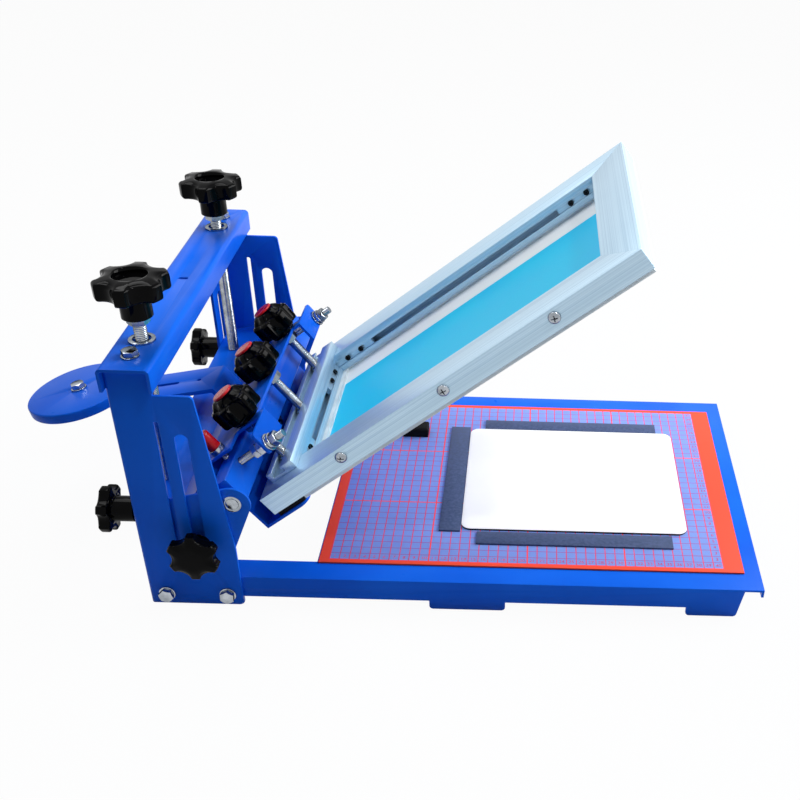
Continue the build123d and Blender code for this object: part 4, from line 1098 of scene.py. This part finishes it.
def frameParts():
    feet = []
    beam = []
    for side in sides:
        for x in frameBolts["foot"]:
            place = (press["rearX"] + x, side * press["outerSide"], frameBolts["footHeight"])
            feet.append(facing((0, side, 0), place))
        place = (press["rearX"] + frameBolts["beam"], side * frameBolts["beamSide"], press["beamTop"])
        beam.append(facing((0, 0, 1), place))
    lift = [liftPlace(side, press["beamTop"]) for side in sides]
    parts = boltThrough(feet, *frameBolts["footThrough"]) + boltThrough(beam, *frameBolts["beamThrough"])
    parts.append(disc(lift, liftScrew["washerRadius"], liftScrew["washer"], liftScrew["washerBore"]))
    parts.append(nut(further(lift, -liftScrew["nutDrop"]), m12))
    return parts


def carriageNuts():
    places = [sideClampPlace(side, -carriageClamp["sideNut"]) for side in sides]
    places += [rearClampPlace(side, -carriageClamp["rearNut"], way=1) for side in sides]
    return [nut(places, m10)]


def liftParts(side, hub):
    foot = [liftPlace(side, 0.0)]
    shoulder, tip = liftScrew["shoulder"], liftScrew["tip"]
    return [
        thread(further(foot, shoulder), m12, hub + liftScrew["inKnob"] - shoulder),
        thread(further(foot, tip), m8, shoulder - tip),
        nut(further(foot, hub - m12["jam"]), m12, "jam"),
        nut(further(foot, liftScrew["lockNut"]), m8),
    ]


def studParts(place):
    return [
        disc([place], carriageClamp["collarRadius"], carriageClamp["collar"]),
        thread(further([place], -carriageClamp["inside"]), m10, carriageClamp["rodLength"]),
    ]


def registrationRods():
    start, off = registration["rodStart"], registration["off"]
    places = [onHead(start, side * registration["side"], off, (1, 0, 0)) for side in sides]
    return [thread(places, m8, registration["rodLength"])]


def registrationStack(side):
    across, off = side * registration["side"], registration["off"]
    outer = [onHead(registration["outer"], across, off, (1, 0, 0))]
    inner = [onHead(registration["inner"], across, off, (-1, 0, 0))]
    thick, bore = washer["thick"], washer["bore"]
    raised = thick + washer["springThick"]
    return [
        disc(outer, washer["wide"], thick, bore),
        disc(further(outer, thick), washer["spring"], washer["springThick"], bore),
        disc(further(outer, raised), washer["radius"], thick, bore),
        nut(further(outer, raised + thick), m8),
        disc(inner, washer["wide"], thick, bore),
        nut(further(inner, thick), m8),
        nut(further(inner, thick + m8["nut"]), m8),
    ]


def headParts():
    def tab(along, way):
        return [onHead(along, side * armBolts["side"], armBolts["off"], (way, 0, 0)) for side in sides]

    middle = armFrame @ facing((0, 0, 1), (press["armLength"], 0.0, armBolts["discOff"]))
    return [
        nut([screenClampPlace(row, screenClamp["nut"]) for row in (-1, 0, 1)], m10),
        *boltThrough([middle], *armBolts["discThrough"]),
        nut(tab(armBolts["head"], -1), m8, "head"),
        thread(tab(armBolts["head"], 1), m8, armBolts["rodLength"]),
        nut(tab(armBolts["nut"], 1), m8, "jam"),
    ]


def slideLockParts():
    along, across = slideLock["along"], slideLock["across"]
    radius, height = slideLock["collarRadius"], slideLock["collarHeight"]
    return [
        thread([onHead(along, across, slideLock["rod"])], m8, slideLock["rodLength"]),
        disc([onHead(along, across, slideLock["collar"])], radius, height, m8["bore"]),
    ]


def railScrewParts():
    places = []
    for along in railScrews["along"]:
        for side in sides:
            places.append(onHead(along, side * railScrews["side"], railScrews["off"], (0, side, 0)))
    values = {"Radius": railScrews["radius"], "Height": railScrews["height"], "Cross": True}
    return [(recessTree, places, values)]


def clampParts(row):
    place = [screenClampPlace(row, 0.0)]
    return [
        thread(further(place, screenClamp["rodStart"]), m10, screenClamp["rodLength"]),
        disc(further(place, screenClamp["foot"]), screenClamp["footRadius"], screenClamp["footHeight"]),
    ]


frameNodes = ["frame_bolts", "frame_washers", "frame_nuts", "lift_washers", "lift_nuts"]
gap = carriageClamp["gap"]
fasteners = {
    # piece: the CAD nodes it stands for and its parts
    "frameFasteners": (frameNodes, frameParts()),
    "carriageNuts": (["stud_nuts"], carriageNuts()),
    "nearLiftRod": (["near_lift_screw"], liftParts(-1, liftScrew["nearHub"])),
    "farLiftRod": (["far_lift_screw"], liftParts(1, liftScrew["farHub"])),
    "nearSideRod": (["near_side_stud"], studParts(sideClampPlace(-1, gap))),
    "farSideRod": (["far_side_stud"], studParts(sideClampPlace(1, gap))),
    "nearRearRod": (["near_rear_stud"], studParts(rearClampPlace(-1, gap))),
    "farRearRod": (["far_rear_stud"], studParts(rearClampPlace(1, gap))),
    "guideRods": (["registration_rods"], registrationRods()),
    "nearRegistrationStack": (["near_registration_nuts"], registrationStack(-1)),
    "farRegistrationStack": (["far_registration_nuts"], registrationStack(1)),
    "headFasteners": (["clamp_screw_nuts", "arm_bolts"], headParts()),
    "slideLockRod": (["slide_lock_screw"], slideLockParts()),
    "railScrewHeads": (["rail_screws"], railScrewParts()),
    "nearClampRod": (["near_clamp_screw"], clampParts(-1)),
    "middleClampRod": (["middle_clamp_screw"], clampParts(0)),
    "farClampRod": (["far_clamp_screw"], clampParts(1)),
}


seeds = {"step": 10, "setScrews": 500}  # step from one piece's first seed to the next


def addFasteners(name, nodes, parts, material, seed):
    work = bmesh.new()
    for count, (tree, places, values) in enumerate(parts):
        part = bakeNodes(tree, places, values, material, seed + count)
        work.from_mesh(part)
        bpy.data.meshes.remove(part)
    bmesh.ops.remove_doubles(work, verts=work.verts, dist=lathe["join"] * mm)
    bmesh.ops.recalc_face_normals(work, faces=work.faces)
    joined = bpy.data.meshes.new(name)
    work.to_mesh(joined)
    work.free()
    joined.materials.clear()
    joined.materials.append(material)
    smoothByAngle(joined, lathe["smooth"])
    addPiece(name, joined, bodyOf(nodes[0]), nodes)


for turn, (name, (nodes, parts)) in enumerate(fasteners.items()):
    addFasteners(name, nodes, parts, zincSteel, turn * seeds["step"])

setScrews = {
    # screws in the inner slots of the rails, two in each rail at each corner of the screen frame
    "ends": ((0.0, 1), (446.5, -1)),  # clamped and free end along the screen, and the way inwards
    "fromCorner": (15.0, 35.0),
    "slotCorner": 40.0,  # corner of the slots from the end, along the long rail
    "longSide": 111.65,
    "shortAlong": 31.7,
    "shortSide": 103.35,
    "off": -11.5,
    "radius": 3.0,
    "height": 8.3,
}


def setScrewParts():
    places = []
    off = setScrews["off"]
    for side in sides:
        for far, way in setScrews["ends"]:
            for distance in setScrews["fromCorner"]:
                along = far + way * (setScrews["slotCorner"] + distance)
                places.append(onHead(along, side * setScrews["longSide"], off, (0, -side, 0)))
                across = side * (setScrews["shortSide"] - distance)
                places.append(onHead(far + way * setScrews["shortAlong"], across, off, (way, 0, 0)))
    values = {"Radius": setScrews["radius"], "Height": setScrews["height"], "Cross": False}
    return [(recessTree, places, values)]


addFasteners("socketSetScrews", ["corner_screws"], setScrewParts(), blackOxide,
             seeds["setScrews"])
print("stage: fasteners made")

room = {
    "floor": 8.0,  # metres across
    "white": "#cbd1da",
    "roughness": 0.9,
    "shownWhite": 0.96,  # share of plain white that the floor shows the camera
    "fill": 0.12,  # strength of the world's light on the press
}


def shownShare(tree):
    # 1 for rays from the camera, off gloss or through glass, and 0 for those that light the press
    path = addNode(tree, "ShaderNodeLightPath")
    rays = [path.outputs["Is Camera Ray"], path.outputs["Is Glossy Ray"]]
    either = addNode(tree, "ShaderNodeMath", rays, operation="MAXIMUM")
    rays = [either, path.outputs["Is Transmission Ray"]]
    return addNode(tree, "ShaderNodeMath", rays, operation="MAXIMUM")


def makeFloorMaterial():
    material = bpy.data.materials.new("seamlessPaper")
    material.use_nodes = True
    tree = material.node_tree
    shader = tree.nodes["Principled BSDF"]
    shader.inputs["Base Color"].default_value = toLinear(room["white"])
    shader.inputs["Roughness"].default_value = room["roughness"]
    share = addNode(tree, "ShaderNodeMath", [shownShare(tree), room["shownWhite"]], operation="MULTIPLY")
    white = addNode(tree, "ShaderNodeEmission", {"Color": (1, 1, 1, 1), "Strength": 1.0})
    mix = addNode(tree, "ShaderNodeMixShader", [share, shader, white])
    tree.links.new(mix.outputs[0], tree.nodes["Material Output"].inputs["Surface"])
    return material


def makeFloor():
    half = room["floor"] / 2
    mesh = bpy.data.meshes.new("paperFloor")
    corners = [(-half, -half, 0), (half, -half, 0), (half, half, 0), (-half, half, 0)]
    mesh.from_pydata(corners, [], [(0, 1, 2, 3)])
    mesh.materials.append(makeFloorMaterial())
    floor = bpy.data.objects.new("paperFloor", mesh)
    scene.collection.objects.link(floor)


def makeWorld():
    world = bpy.data.worlds.new("whiteStudio")
    scene.world = world
    world.use_nodes = True
    tree = world.node_tree
    limits = {"Value": shownShare(tree), "To Min": room["fill"], "To Max": 1.0}
    strength = addNode(tree, "ShaderNodeMapRange", limits)
    backdrop = tree.nodes["Background"]
    backdrop.inputs["Color"].default_value = (1, 1, 1, 1)
    tree.links.new(strength.outputs["Result"], backdrop.inputs["Strength"])


lamps = {
    # place, aim, size in metres and power in watts
    "windowBox": ((1.6, 0.4, 1.05), (0.05, 0.0, 0.1), 1.2, 47.0),
    "overheadBox": ((-0.6, 0.45, 1.75), (-0.05, 0.0, 0.15), 1.0, 18.0),
    "glintBox": ((0.9, -0.5, 1.9), (-0.15, 0.0, 0.25), 0.12, 6.0),
}


def makeLamps():
    for name, (place, aim, size, power) in lamps.items():
        data = bpy.data.lights.new(name, "AREA")
        data.shape = "SQUARE"
        data.size = size
        data.energy = power
        lamp = bpy.data.objects.new(name, data)
        lamp.location = place
        lamp.rotation_euler = (Vector(aim) - Vector(place)).to_track_quat("-Z", "Y").to_euler()
        scene.collection.objects.link(lamp)


photoView = {
    # place in metres, turn as a quaternion, lens and sensor in mm, shift as shares of the picture
    "place": (0.144017, -0.995494, 0.737441),
    "turn": (0.88136433, 0.47217792, -0.01290503, 0.00885417),
    "lens": 48.558,
    "sensor": 36.0,
    "shift": (-0.17487, 0.06326),
    "clip": (0.05, 40.0),
}


def makeCamera():
    data = bpy.data.cameras.new("photoCamera")
    data.sensor_width = photoView["sensor"]
    data.lens = photoView["lens"]
    data.shift_x, data.shift_y = photoView["shift"]
    data.clip_start, data.clip_end = photoView["clip"]
    camera = bpy.data.objects.new("photoCamera", data)
    camera.location = photoView["place"]
    camera.rotation_mode = "QUATERNION"
    camera.rotation_quaternion = photoView["turn"]
    scene.collection.objects.link(camera)
    scene.camera = camera


makeFloor()
makeWorld()
makeLamps()
makeCamera()
print("stage: room, light and camera set")

bpy.context.view_layer.update()
